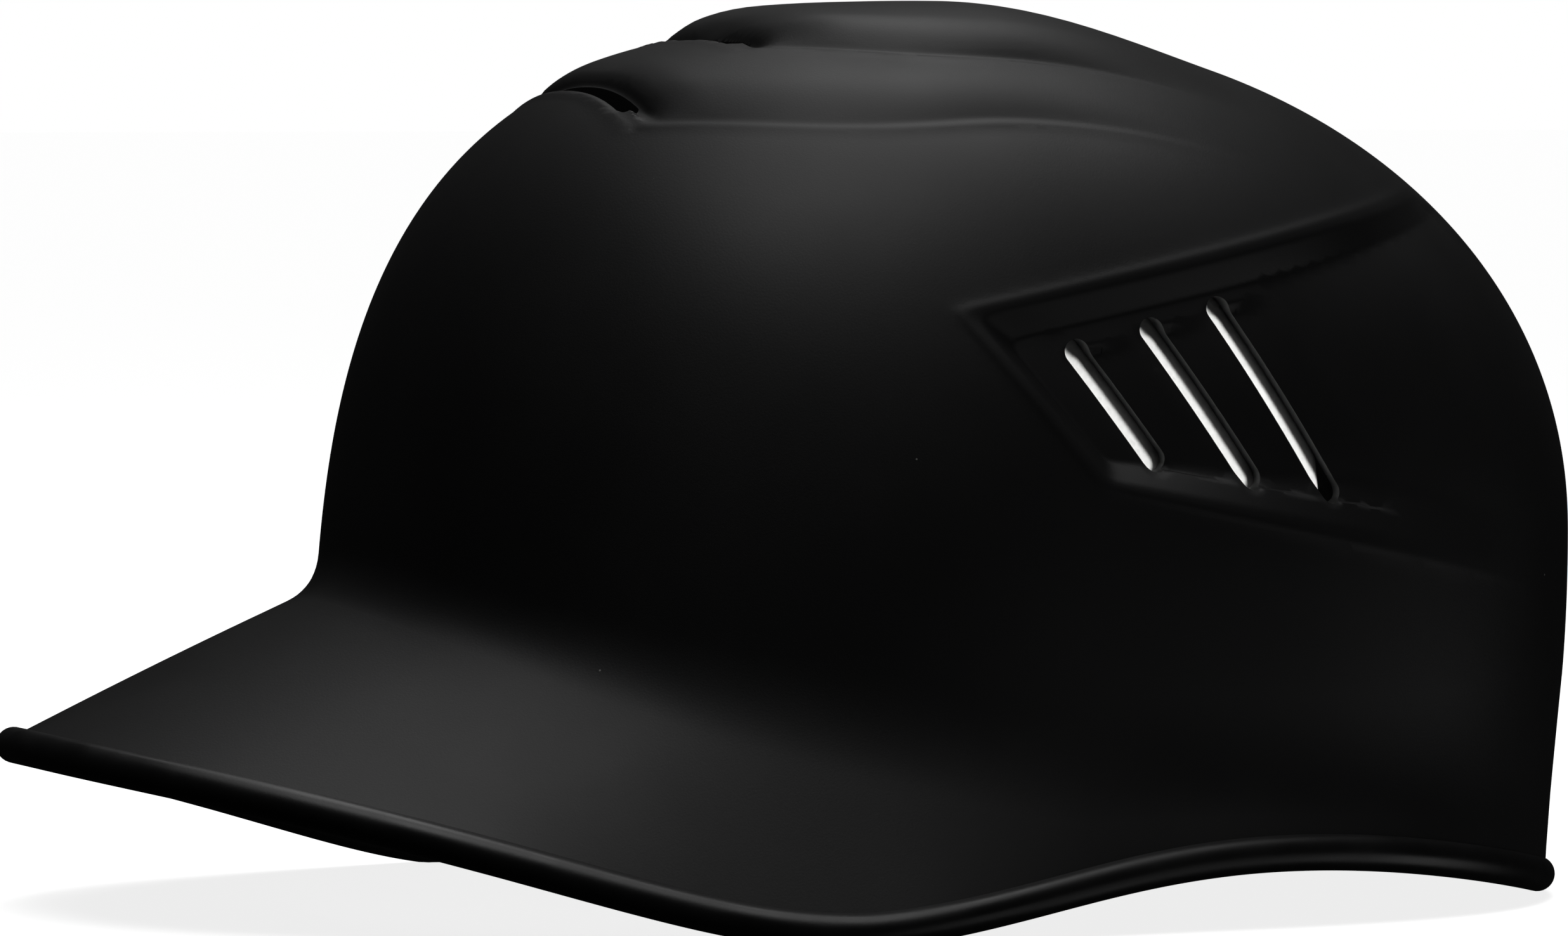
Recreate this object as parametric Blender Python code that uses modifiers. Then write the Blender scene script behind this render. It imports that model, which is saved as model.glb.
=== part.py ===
"""Base coach's batting helmet: a moulded cap shell with a bill, an edge bead and a glued liner.

The wearer faces -Y, the wearer's left is +X and +Z is up.  The helmet stands on its edge bead at
Z = 0.  Sizes are in millimetres and become metres where a vertex gets its place.
"""

import math

import bmesh
import bpy
from mathutils import Matrix, Vector

MM = 0.001

# ---- head form of the outer skin -----------------------------------------------------------
DOME_FRONT = 115.7          # middle of the head to the forehead, before the lean of the crown
DOME_BACK = 124.2           # middle of the head to the back
DOME_HALF_WIDTH = 100.0     # middle of the head to the side
DOME_CROWN = 165.0          # plain crown above the floor, without the scoops
DOME_PLAN_POWER = 2.23      # squareness of the plan, 2 is an ellipse
DOME_WIDEST = 46.0          # height of the widest ring, at the side
DOME_WIDEST_TILT = 23.7     # the widest ring rises this far at the back and falls at the front
DOME_PROFILE_POWER = 2.6    # squareness of the side profile
DOME_PROFILE_SHARE = 0.6    # the forehead is squarer than the back by this
CROWN_SHIFT = -4.6          # the crown's middle lies this far behind the head's middle
CROWN_SHIFT_POWER = 1.5     # above 1 the shift grows late, towards the crown
NAPE_TUCK = 0.058           # share by which the back draws in below its widest ring

# ---- edge of the shell's outer skin ---------------------------------------------------------
BILL_LENGTH = 60.3          # the bill reaches this far past the forehead
SIDE_FLARE = 6.0            # the edge stands this far outside the dome at the side
TEMPLE_FLARE = 8.0          # and this much further out at the temples
TEMPLE_ANGLE = 70.0         # angle at which that flare is widest
TEMPLE_SPREAD = 20.0        # degrees over which it falls away
BACK_FLARE = 0.2            # and this far outside the tucked-in back
BILL_REACH = DOME_FRONT + BILL_LENGTH
EDGE_HALF_WIDTH = DOME_HALF_WIDTH + SIDE_FLARE
EDGE_BACK = DOME_BACK * (1.0 - NAPE_TUCK) + BACK_FLARE
EDGE_PLAN_POWER = 2.3
BILL_RISE = 29.9            # tip of the bill above the temples
BILL_SWEEP = 2.2            # how long the bill's edge stays near the tip's height
BILL_TURN = 65.0            # the bill's edge comes down to the temples at this angle, in degrees
EAR_RISE = 11.5             # arch over the ear
EAR_SKEW = 0.78             # below 1 the arch is highest towards its front
EAR_END = 171.0             # the arch is back down at this angle

# ---- crease where the bill leaves the forehead ---------------------------------------------
CREASE_FRONT = 60.5
CREASE_SIDE = 27.0
CREASE_ANGLE = 63.0
FILLET_FRONT = 9.0
FILLET_SIDE = 20.0
BILL_CROWN = 0.4            # arch of the bill from crease to tip

# ---- wall, bead and fits -------------------------------------------------------------------
WALL = 3.0
BEAD_RADIUS = 3.4
BEAD_GRIP = 0.9             # the shell's edge passes the middle of the bead by this
REST_FLAT = 0.5             # flattened under the bead where the helmet stands
FIT = 0.3                   # gap kept between touching pieces
BUTT_GAP = 0.35             # degrees left between the two ends of the bead, each side
HEAD_TO_ORIGIN = 0.5 * (BILL_REACH + BEAD_RADIUS - 0.5 * WALL - DOME_BACK)   # middle of the length

# ---- crown scoops --------------------------------------------------------------------------
FRONT_SCOOP_Y = 70.5        # front lip of the first slit, forward of the head's middle
FRONT_SCOOP_HALF = 38.0     # half width of the scoop at its slit
FRONT_SCOOP_FLARE = 29.0
FRONT_SCOOP_LENGTH = 57.0
FRONT_SCOOP_TAIL = -52.0
FRONT_SCOOP_HEIGHT = 2.0
FRONT_SCOOP_DIP = 0.7       # share by which the scoop is lower along its middle
FRONT_SCOOP_RISE = 10.0     # length over which the scoop comes up behind its slit
REAR_SCOOP_Y = 46.0
REAR_SCOOP_HALF = 30.0
REAR_SCOOP_FLARE = 21.5
REAR_SCOOP_LENGTH = 45.0
REAR_SCOOP_TAIL = -52.0
REAR_SCOOP_HEIGHT = 4.2
REAR_SCOOP_DIP = 0.0
REAR_SCOOP_RISE = 15.0
SCOOP_EDGE = 9.0            # width over which a scoop's side comes up
SCOOP_SWEEP = 2.4           # above 1 a scoop widens fastest near its slit
SLIT_WIDTH = 5.5
SLIT_MARGIN = 3.0           # the slit stops this far inside its scoop's side
SLIT_CUT_TOP = 6.0          # top of the slit's cutter over the plain crown
SLIT_CUT_DEPTH = 30.0       # height of the slit's cutter

# ---- sunk panel on the side, seen from the side as (forward, down from the crown) -----------
PANEL_TIP = (23.2, 53.0)
PANEL_CORNER = (-0.5, 83.2)
PANEL_TOP_END = (-62.0, 35.8)
PANEL_LOW_END = (-92.0, 102.5)
PANEL_DEPTH = 3.6
PANEL_EDGE = 5.0
PANEL_FADE_START = -48.0
PANEL_FADE_END = -104.0

# ---- slanted side slots: top and bottom middles as (forward, down from the crown) ------------
SIDE_SLOTS = (
    ((3.0, 58.8), (-11.5, 79.8)),
    ((-12.2, 54.8), (-30.7, 83.5)),
    ((-26.0, 50.5), (-47.5, 86.4)),
)
SLOT_WIDTH = 5.4
SLOT_ROUNDING = 2.43        # rounding of the slot's ends
SLOT_CUT_REACH = 40.0       # length of the slot's cutter through the wall
SLOT_CUT_INSET = 10.0       # the cutter's middle lies this far inside the dome's side

# ---- liner ---------------------------------------------------------------------------------
IMPACT_THICKNESS = 9.0
COMFORT_THICKNESS = 5.0
COMFORT_INSET = 0.35        # share of a column and of a row that the soft layer stops short

# ---- mesh density --------------------------------------------------------------------------
SKIN_STEPS = 38             # columns from the forehead round to the nape
SKIN_ROWS = 26              # rows from the crown down to the edge
BEAD_STEPS = 72
BEAD_SIDES = 9
WALL_END = 0.72             # share of the rows that make the dome's wall
FILLET_END = 0.80           # share of the rows at which the fillet ends
NORMAL_STEP = 0.002         # step of angle and row from which a normal is taken
EDGE_STEP = 0.02            # step of row from which the edge's slope is taken
MERGE = 0.01                # vertices closer than this are one
SHARP_ANGLE = 35.0          # edges sharper than this, in degrees, are shaded as corners


# ---- small maths ----------------------------------------------------------------------------
def clamp(value, low=0.0, high=1.0):
    """Keep a value between two limits."""
    return max(low, min(high, value))


def ease(value):
    """Smooth step from 0 to 1."""
    value = clamp(value)
    return value * value * (3.0 - 2.0 * value)


def plan_radius(angle, front, back, side, power):
    """Distance from the middle to a squared oval at an angle from straight ahead."""
    along = math.cos(angle)
    across = math.sin(angle)
    reach = front if along > 0.0 else back
    total = (abs(along) / reach) ** power + (abs(across) / side) ** power
    return total ** (-1.0 / power)


# ---- the outer skin -------------------------------------------------------------------------
def widest_height(angle):
    """Height at which the dome is widest."""
    return DOME_WIDEST - DOME_WIDEST_TILT * math.cos(angle)


def dome_point(angle, height):
    """Point of the plain dome at an angle and a height."""
    widest = widest_height(angle)
    power = DOME_PROFILE_POWER + DOME_PROFILE_SHARE * math.cos(angle)
    up = clamp((height - widest) / (DOME_CROWN - widest))
    radius = plan_radius(angle, DOME_FRONT, DOME_BACK, DOME_HALF_WIDTH, DOME_PLAN_POWER)
    radius *= (1.0 - up ** power) ** (1.0 / power)
    if height < widest:
        tuck = NAPE_TUCK * 0.5 * (1.0 - math.cos(angle))
        radius *= 1.0 - tuck * ((widest - height) / widest) ** 2
    forward = radius * math.cos(angle) + CROWN_SHIFT * up ** CROWN_SHIFT_POWER
    return Vector((radius * math.sin(angle), -forward, height))


def edge_height(angle):
    """Height of the skin's edge, which lets the bead under it stand on the floor."""
    degrees = abs(math.degrees(angle))
    height = BEAD_RADIUS - REST_FLAT - BEAD_GRIP
    if degrees < BILL_TURN:
        height += BILL_RISE * (1.0 - (degrees / BILL_TURN) ** BILL_SWEEP) ** BILL_SWEEP
    elif degrees < EAR_END:
        run = (degrees - BILL_TURN) / (EAR_END - BILL_TURN)
        height += EAR_RISE * math.sin(math.pi * run ** EAR_SKEW) ** 2
    return height


def edge_point(angle):
    """Lower edge of the outer skin."""
    radius = plan_radius(angle, BILL_REACH, EDGE_BACK, EDGE_HALF_WIDTH, EDGE_PLAN_POWER)
    turn = math.degrees(math.acos(clamp(math.cos(angle), -1.0)))
    radius += TEMPLE_FLARE * math.exp(-(((turn - TEMPLE_ANGLE) / TEMPLE_SPREAD) ** 2))
    return Vector((radius * math.sin(angle), -radius * math.cos(angle), edge_height(angle)))


def bill_share(angle):
    """1 at the middle of the bill, falling to 0 behind the temples."""
    return math.exp(-((math.degrees(angle) / CREASE_ANGLE) ** 2))


def crease_height(angle):
    """Height of the crease between dome and bill."""
    return CREASE_SIDE + (CREASE_FRONT - CREASE_SIDE) * bill_share(angle)


def fillet_size(angle):
    """How far the crease's fillet runs up the dome and out along the bill."""
    return FILLET_SIDE + (FILLET_FRONT - FILLET_SIDE) * bill_share(angle)


def wall_height(angle, share):
    """Height of the wall's row: even steps round the profile from the crown to the fillet."""
    widest = widest_height(angle)
    rise = DOME_CROWN - widest
    low = crease_height(angle) + fillet_size(angle)
    power = DOME_PROFILE_POWER + DOME_PROFILE_SHARE * math.cos(angle)
    quarter = 0.5 * math.pi
    if low > widest:
        last = math.acos(((low - widest) / rise) ** (0.5 * power))
    else:
        last = quarter + (widest - low) / DOME_HALF_WIDTH
    turn = share * last
    if turn < quarter:
        return widest + rise * math.cos(turn) ** (2.0 / power)
    return widest - (turn - quarter) * DOME_HALF_WIDTH


def plain_skin(angle, row):
    """Outer skin without scoops or panels; row runs from 0 at the crown to 1 at the edge."""
    if row <= WALL_END:
        return dome_point(angle, wall_height(angle, row / WALL_END))
    start = dome_point(angle, crease_height(angle) + fillet_size(angle))
    corner = dome_point(angle, crease_height(angle))
    edge = edge_point(angle)
    span = edge - corner
    size = min(fillet_size(angle), 0.5 * span.length)
    finish = corner + span.normalized() * size
    if row <= FILLET_END:
        share = (row - WALL_END) / (FILLET_END - WALL_END)
        return (1.0 - share) ** 2 * start + 2.0 * share * (1.0 - share) * corner + share ** 2 * finish
    share = (row - FILLET_END) / (1.0 - FILLET_END)
    lift = BILL_CROWN * 4.0 * share * (1.0 - share) * bill_share(angle)
    return finish.lerp(edge, share) + Vector((0.0, 0.0, lift))


def skin_normal(angle, row):
    """Outward normal of the plain skin."""
    if row < NORMAL_STEP:
        return Vector((0.0, 0.0, 1.0))
    around = plain_skin(angle + NORMAL_STEP, row) - plain_skin(angle - NORMAL_STEP, row)
    down = plain_skin(angle, min(row + NORMAL_STEP, 1.0)) - plain_skin(angle, row - NORMAL_STEP)
    return down.cross(around).normalized()


def scoop_relief(place, lip, half, flare, length, tail, height, dip, rise):
    """Height of one crown scoop over the plain dome."""
    forward = -place.y
    run = clamp((lip - forward) / length)
    width = half + flare * (1.0 - (1.0 - run) ** SCOOP_SWEEP)
    side = ease((width - abs(place.x)) / SCOOP_EDGE)
    front = ease((lip - SLIT_WIDTH - forward) / rise)
    back = ease((forward - tail) / (lip - length - tail))
    saddle = 1.0 - dip * ease(1.0 - abs(place.x) / width)
    return height * side * front * back * saddle


def side_of(point, start, finish):
    """Signed distance from a line in the side view, positive to the line's right."""
    run = Vector((finish[0] - start[0], finish[1] - start[1]))
    away = Vector((point[0] - start[0], point[1] - start[1]))
    return away.cross(run.normalized())


def panel_relief(place):
    """Depth of the sunk side panel, as a negative height."""
    spot = (-place.y, DOME_CROWN - place.z)
    above = side_of(spot, PANEL_TIP, PANEL_TOP_END)
    ahead = side_of(spot, PANEL_CORNER, PANEL_TIP)
    below = side_of(spot, PANEL_LOW_END, PANEL_CORNER)
    inside = min(above, ahead, below)
    fade = ease((spot[0] - PANEL_FADE_END) / (PANEL_FADE_START - PANEL_FADE_END))
    return -PANEL_DEPTH * ease(inside / PANEL_EDGE) * fade


def relief(place):
    """All raised and sunk features over the plain skin, at a place on it."""
    front = scoop_relief(place, FRONT_SCOOP_Y, FRONT_SCOOP_HALF, FRONT_SCOOP_FLARE,
                         FRONT_SCOOP_LENGTH, FRONT_SCOOP_TAIL, FRONT_SCOOP_HEIGHT,
                         FRONT_SCOOP_DIP, FRONT_SCOOP_RISE)
    rear = scoop_relief(place, REAR_SCOOP_Y, REAR_SCOOP_HALF, REAR_SCOOP_FLARE,
                        REAR_SCOOP_LENGTH, REAR_SCOOP_TAIL, REAR_SCOOP_HEIGHT,
                        REAR_SCOOP_DIP, REAR_SCOOP_RISE)
    return front + rear + panel_relief(place)


def skin_point(angle, row, depth):
    """Point at a depth under the finished outer skin."""
    place = plain_skin(angle, row)
    return place + skin_normal(angle, row) * (relief(place) - depth)


def under_skin(angle, row, depth):
    """Point at a depth under the plain skin."""
    return plain_skin(angle, row) - skin_normal(angle, row) * depth


# ---- Blender helpers ------------------------------------------------------------------------
def clear_scene():
    """Remove every object."""
    for item in list(bpy.data.objects):
        bpy.data.objects.remove(item, do_unlink=True)


def new_collection(name):
    """A collection linked to the scene."""
    group = bpy.data.collections.new(name)
    bpy.context.scene.collection.children.link(group)
    return group


def new_material(name, colour, roughness, metallic=0.0):
    """A plain Principled material."""
    material = bpy.data.materials.new(name)
    material.use_nodes = True
    shader = material.node_tree.nodes["Principled BSDF"]
    shader.inputs["Base Color"].default_value = (*colour, 1.0)
    shader.inputs["Roughness"].default_value = roughness
    shader.inputs["Metallic"].default_value = metallic
    material.diffuse_color = (*colour, 1.0)
    return material


def new_object(name, bm, group, material=None):
    """Finish a mesh, move it from the head's middle to the origin and scale it to metres."""
    bmesh.ops.recalc_face_normals(bm, faces=bm.faces)
    bmesh.ops.translate(bm, vec=(0.0, HEAD_TO_ORIGIN, 0.0), verts=bm.verts)
    bmesh.ops.scale(bm, vec=(MM, MM, MM), verts=bm.verts)
    mesh = bpy.data.meshes.new(name)
    bm.to_mesh(mesh)
    bm.free()
    item = bpy.data.objects.new(name, mesh)
    group.objects.link(item)
    if material:
        mesh.materials.append(material)
        mesh.shade_smooth()
        mesh.set_sharp_from_angle(angle=math.radians(SHARP_ANGLE))
    return item


def grid(columns, rows, place):
    """A grid whose vertices are put in place by column and row number."""
    bm = bmesh.new()
    bmesh.ops.create_grid(bm, x_segments=columns, y_segments=rows, size=1.0)
    for vert in bm.verts:
        column = round((vert.co.x + 1.0) * 0.5 * columns)
        row = round((vert.co.y + 1.0) * 0.5 * rows)
        vert.co = place(column, row)
    bmesh.ops.remove_doubles(bm, verts=bm.verts, dist=MERGE)
    return bm


# ---- shell ----------------------------------------------------------------------------------
def step_angle(column):
    """Angle of a column of the skin."""
    return math.pi * column / SKIN_STEPS


def half_shell_place(column, row):
    """Outer skin down to the edge, then the inner skin back up to the crown."""
    outside = row <= SKIN_ROWS
    level = row if outside else 2 * SKIN_ROWS + 1 - row
    place = skin_point(step_angle(column), level / SKIN_ROWS, 0.0 if outside else WALL)
    if column in (0, SKIN_STEPS) or level == 0:
        place.x = 0.0
    return place


def make_slot_cutter(name, top, bottom, side, group):
    """A slab with round ends, lying along the slot and reaching through the side wall."""
    run = Vector((0.0, top[0] - bottom[0], top[1] - bottom[1]))
    bm = bmesh.new()
    bmesh.ops.create_cube(bm, size=1.0)
    bmesh.ops.scale(bm, vec=(SLOT_CUT_REACH, SLOT_WIDTH, run.length + SLOT_WIDTH), verts=bm.verts)
    corners = [edge for edge in bm.edges
               if abs(edge.verts[0].co.x - edge.verts[1].co.x) > 0.5 * SLOT_CUT_REACH]
    bmesh.ops.bevel(bm, geom=corners, offset=SLOT_ROUNDING, segments=3, profile=0.5,
                    affect="EDGES", material=-1)
    lean = math.atan2(run.y, run.z)
    bmesh.ops.rotate(bm, cent=(0.0, 0.0, 0.0), matrix=Matrix.Rotation(-lean, 3, "X"), verts=bm.verts)
    middle = Vector((side * (DOME_HALF_WIDTH - SLOT_CUT_INSET), -0.5 * (top[0] + bottom[0]),
                     DOME_CROWN - 0.5 * (top[1] + bottom[1])))
    bmesh.ops.translate(bm, vec=middle, verts=bm.verts)
    return new_object(name, bm, group)


def make_slit_cutter(name, lip, half, group):
    """A thin slab across the crown, just behind the lip of a scoop."""
    bm = bmesh.new()
    bmesh.ops.create_cube(bm, size=1.0)
    bmesh.ops.scale(bm, vec=(2.0 * (half - SLIT_MARGIN), SLIT_WIDTH, SLIT_CUT_DEPTH), verts=bm.verts)
    middle = DOME_CROWN + SLIT_CUT_TOP - 0.5 * SLIT_CUT_DEPTH
    bmesh.ops.translate(bm, vec=(0.0, -lip + 0.5 * SLIT_WIDTH, middle), verts=bm.verts)
    return new_object(name, bm, group)


def make_shell(group, cutters, material):
    """Half a shell of one folded grid, mirrored and then cut by its vents."""
    shell = new_object("outer_shell", grid(SKIN_STEPS, 2 * SKIN_ROWS + 1, half_shell_place),
                       group, material)
    mirror = shell.modifiers.new("both_sides", "MIRROR")
    mirror.merge_threshold = 0.0001
    for number, (top, bottom) in enumerate(SIDE_SLOTS, start=1):
        for label, side in (("left", 1.0), ("right", -1.0)):
            make_slot_cutter(f"cut_{label}_slot_{number}", top, bottom, side, cutters)
    make_slit_cutter("cut_front_slit", FRONT_SCOOP_Y, FRONT_SCOOP_HALF, cutters)
    make_slit_cutter("cut_rear_slit", REAR_SCOOP_Y, REAR_SCOOP_HALF, cutters)
    for cutter in cutters.objects:
        cutter.hide_render = True
        cutter.display_type = "WIRE"
    vents = shell.modifiers.new("vents", "BOOLEAN")
    vents.operand_type = "COLLECTION"
    vents.collection = cutters
    vents.solver = "EXACT"
    return shell


# ---- edge bead ------------------------------------------------------------------------------
def bead_outline():
    """Section of the bead as (outward, along) about its middle: a round with a groove for the wall."""
    groove = 0.5 * WALL + FIT
    mouth = math.asin(groove / BEAD_RADIUS)
    turn = 2.0 * math.pi - 2.0 * mouth
    points = [(BEAD_RADIUS * math.sin(mouth + turn * step / BEAD_SIDES),
               -BEAD_RADIUS * math.cos(mouth + turn * step / BEAD_SIDES))
              for step in range(BEAD_SIDES + 1)]
    depth = BEAD_GRIP + FIT
    return points + [(-groove, depth), (groove, depth)]


def make_bead(group, material):
    """The bead swept round the edge from nape to nape, flat where it stands on the floor."""
    outline = bead_outline()
    first = math.radians(180.0 - BUTT_GAP)

    def place(column, row):
        angle = -first + 2.0 * first * column / BEAD_STEPS
        outward, along = outline[row % len(outline)]
        normal = skin_normal(angle, 1.0)
        down = (plain_skin(angle, 1.0) - plain_skin(angle, 1.0 - EDGE_STEP)).normalized()
        middle = plain_skin(angle, 1.0) - normal * 0.5 * WALL - down * BEAD_GRIP
        return middle + normal * outward + down * along

    bm = grid(BEAD_STEPS, len(outline), place)
    bmesh.ops.holes_fill(bm, edges=bm.edges, sides=0)
    floor = bmesh.ops.bisect_plane(bm, geom=bm.verts[:] + bm.edges[:] + bm.faces[:], dist=MERGE,
                                   plane_co=(0.0, 0.0, 0.0), plane_no=(0.0, 0.0, -1.0),
                                   clear_outer=True)
    cut = [item for item in floor["geom_cut"] if isinstance(item, bmesh.types.BMEdge)]
    bmesh.ops.edgenet_fill(bm, edges=cut)
    return new_object("edge_trim", bm, group, material)


# ---- liner ----------------------------------------------------------------------------------
def make_pad(name, place, top, bottom, inset, group, material):
    """A closed pad between two depths under the skin, over a run of its columns and rows."""
    wide = (place.columns[1] - place.columns[0]) // place.stride
    tall = place.rows[1] - place.rows[0]
    bm = bmesh.new()
    bmesh.ops.create_grid(bm, x_segments=wide, y_segments=tall, size=1.0)
    angle_of = bm.verts.layers.float.new("angle")
    row_of = bm.verts.layers.float.new("row")
    for vert in bm.verts:
        column = place.columns[0] + place.stride * round((vert.co.x + 1.0) * 0.5 * wide)
        row = place.rows[0] + round((vert.co.y + 1.0) * 0.5 * tall)
        if not place.full_turn:
            column = clamp(column, place.columns[0] + inset, place.columns[1] - inset)
            row = max(row, place.rows[0] + inset)
        vert[angle_of] = step_angle(column)
        vert[row_of] = min(row, place.rows[1] - inset) / SKIN_ROWS
        vert.co = under_skin(vert[angle_of], vert[row_of], top)
    bmesh.ops.remove_doubles(bm, verts=bm.verts, dist=MERGE)
    raised = bmesh.ops.extrude_face_region(bm, geom=bm.faces[:])
    for item in raised["geom"]:
        if isinstance(item, bmesh.types.BMVert):
            item.co = under_skin(item[angle_of], item[row_of], bottom)
    return new_object(name, bm, group, material)


class PadPlace:
    """Where a pad lies: columns and rows of the skin, and whether it lies behind a sunk panel."""

    def __init__(self, label, columns, rows, sunk=False, stride=1):
        self.label = label
        self.columns = columns
        self.rows = rows
        self.sunk = sunk
        self.stride = stride
        self.full_turn = columns[1] - columns[0] == 2 * SKIN_STEPS


def pad_places():
    """Every place in the helmet that has a pad."""
    places = [PadPlace("brow", (-6, 6), (15, 18)),
              PadPlace("nape", (SKIN_STEPS - 4, SKIN_STEPS + 4), (13, 18)),
              PadPlace("crown", (-SKIN_STEPS, SKIN_STEPS), (0, 3), stride=4)]
    paired = [("temple", (7, 12), (14, 18), False),
              ("side", (13, 25), (11, 18), True),
              ("rear", (26, 33), (12, 18), True),
              ("upper", (9, 27), (6, 9), False)]
    for label, columns, rows, sunk in paired:
        places.append(PadPlace(f"left_{label}", columns, rows, sunk))
        places.append(PadPlace(f"right_{label}", (-columns[1], -columns[0]), rows, sunk))
    return places


def make_liner(group, foam, cloth):
    """Firm foam glued to the shell, with a cloth-faced soft layer on it."""
    firm_bottom = WALL + FIT + IMPACT_THICKNESS
    soft_top = firm_bottom + FIT
    soft_bottom = soft_top + COMFORT_THICKNESS
    for place in pad_places():
        firm_top = WALL + FIT + (PANEL_DEPTH if place.sunk else 0.0)
        make_pad(f"{place.label}_impact_pad", place, firm_top, firm_bottom, 0.0, group, foam)
        make_pad(f"{place.label}_comfort_pad", place, soft_top, soft_bottom, COMFORT_INSET, group, cloth)


def main():
    """Build the helmet."""
    clear_scene()
    helmet = new_collection("batting_helmet")
    cutters = new_collection("cutters")
    plastic = new_material("shell_plastic", (0.014, 0.014, 0.015), 0.48)
    rubber = new_material("bead_rubber", (0.011, 0.011, 0.012), 0.38)
    foam = new_material("impact_foam", (0.62, 0.62, 0.60), 0.85)
    cloth = new_material("comfort_cloth", (0.035, 0.035, 0.038), 0.92)
    make_shell(helmet, cutters, plastic)
    make_bead(helmet, rubber)
    make_liner(helmet, foam, cloth)


if __name__ == "__main__":
    main()
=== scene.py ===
"""The looks of a base coach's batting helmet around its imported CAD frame.

The wearer faces -Y, the wearer's left is +X and +Z is up.  Shapes are worked out in millimetres
about the middle of the head and moved into the frame, in metres, when a mesh is finished.
"""

import logging
import math
from collections.abc import Mapping, Sequence
from dataclasses import dataclass, field
from enum import Enum

import bmesh
import bpy
import numpy as np
from mathutils import Matrix, Vector
from mathutils.kdtree import KDTree


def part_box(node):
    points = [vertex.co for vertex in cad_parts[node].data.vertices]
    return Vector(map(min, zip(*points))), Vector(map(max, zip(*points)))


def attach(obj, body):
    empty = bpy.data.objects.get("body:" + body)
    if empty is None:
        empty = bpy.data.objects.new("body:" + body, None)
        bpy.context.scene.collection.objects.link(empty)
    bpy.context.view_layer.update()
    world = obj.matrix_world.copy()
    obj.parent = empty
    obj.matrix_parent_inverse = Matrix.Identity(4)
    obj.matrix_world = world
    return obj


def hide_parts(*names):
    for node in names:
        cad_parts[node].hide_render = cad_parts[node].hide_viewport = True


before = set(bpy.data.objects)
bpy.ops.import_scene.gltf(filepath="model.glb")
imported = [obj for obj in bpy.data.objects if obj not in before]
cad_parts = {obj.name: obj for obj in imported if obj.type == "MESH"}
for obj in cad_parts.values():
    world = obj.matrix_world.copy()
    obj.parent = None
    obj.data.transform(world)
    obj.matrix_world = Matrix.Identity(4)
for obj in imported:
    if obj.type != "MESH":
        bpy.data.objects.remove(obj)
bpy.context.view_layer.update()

LOG = logging.getLogger("batting_helmet")
MM = 0.001
BODY = "root"
TINY = 1e-9  # keeps a division by a length from failing
ON_MIDDLE = 1e-6  # below this a vertex belongs on the middle plane
NEARLY_ROUND = 359.0  # degrees from which a pad counts as a full ring
NOISE_RANGE = (0.3, 0.7)  # where most of a noise texture's values lie
MIX_FACTOR, MIX_FIRST, MIX_SECOND, MIX_RESULT = 0, 6, 7, 2  # sockets of a colour Mix node
LOOK_HEIGHT = 0.08095  # height of the point that the lights and the camera aim at
Array = np.ndarray
Colour = tuple[float, float, float]
Spot = tuple[float, float]


class Side(Enum):
    """The two sides of the helmet, as the sign of X."""

    LEFT = 1.0
    RIGHT = -1.0


# ---- small maths -------------------------------------------------------------------------------
def ease(value: Array) -> Array:
    """Smooth step from 0 to 1."""
    value = np.clip(value, 0.0, 1.0)
    return value * value * (3.0 - 2.0 * value)


def step_up(distance: Array, length: Array | float, foot: float, crest: float) -> Array:
    """Share of a step's height, with a rounded foot and a rounded crest.

    Args:
        distance: how far into the step, 0 or less being its foot.
        length: the step's whole length.
        foot: length of the bend at the foot.
        crest: length of the bend at the crest.

    Returns:
        0 at the foot to 1 from the crest on.
    """
    middle = length - foot - crest
    near = np.clip(distance, 0.0, foot)
    flat = np.clip(distance - foot, 0.0, middle)
    far = np.clip(distance - foot - middle, 0.0, crest)
    rise = 0.5 * near**2 / foot + flat + far - 0.5 * far**2 / crest
    return rise / (0.5 * foot + middle + 0.5 * crest)


def soft_min(first: Array, second: Array, rounding: float) -> Array:
    """The smaller of two distances, with the corner where they meet rounded."""
    low = np.minimum(first, second)
    return low - rounding * np.log1p(np.exp(-np.abs(first - second) / rounding))


def line_distance(spots: Array, start: Spot, finish: Spot) -> Array:
    """Signed distance from a line in the side view, positive to the line's right.

    Args:
        spots: points as (forward, down), in the last axis.
        start: a point on the line.
        finish: the point that the line runs to.

    Returns:
        One distance for each point.
    """
    run = np.subtract(finish, start) / math.dist(start, finish)
    away = spots - np.asarray(start)
    return away[..., 0] * run[1] - away[..., 1] * run[0]


def steps(*runs: tuple[float, float]) -> Array:
    """Numbers in runs of even steps.

    Args:
        runs: the first number, then pairs of a run's end and its step.

    Returns:
        The numbers, in rising order.
    """
    here = 0.0
    parts = [np.zeros(1)]
    for stop, step in runs:
        count = max(1, round((stop - here) / step))
        parts.append(np.linspace(here, stop, count + 1)[1:])
        here = stop
    return np.concatenate(parts)


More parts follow.
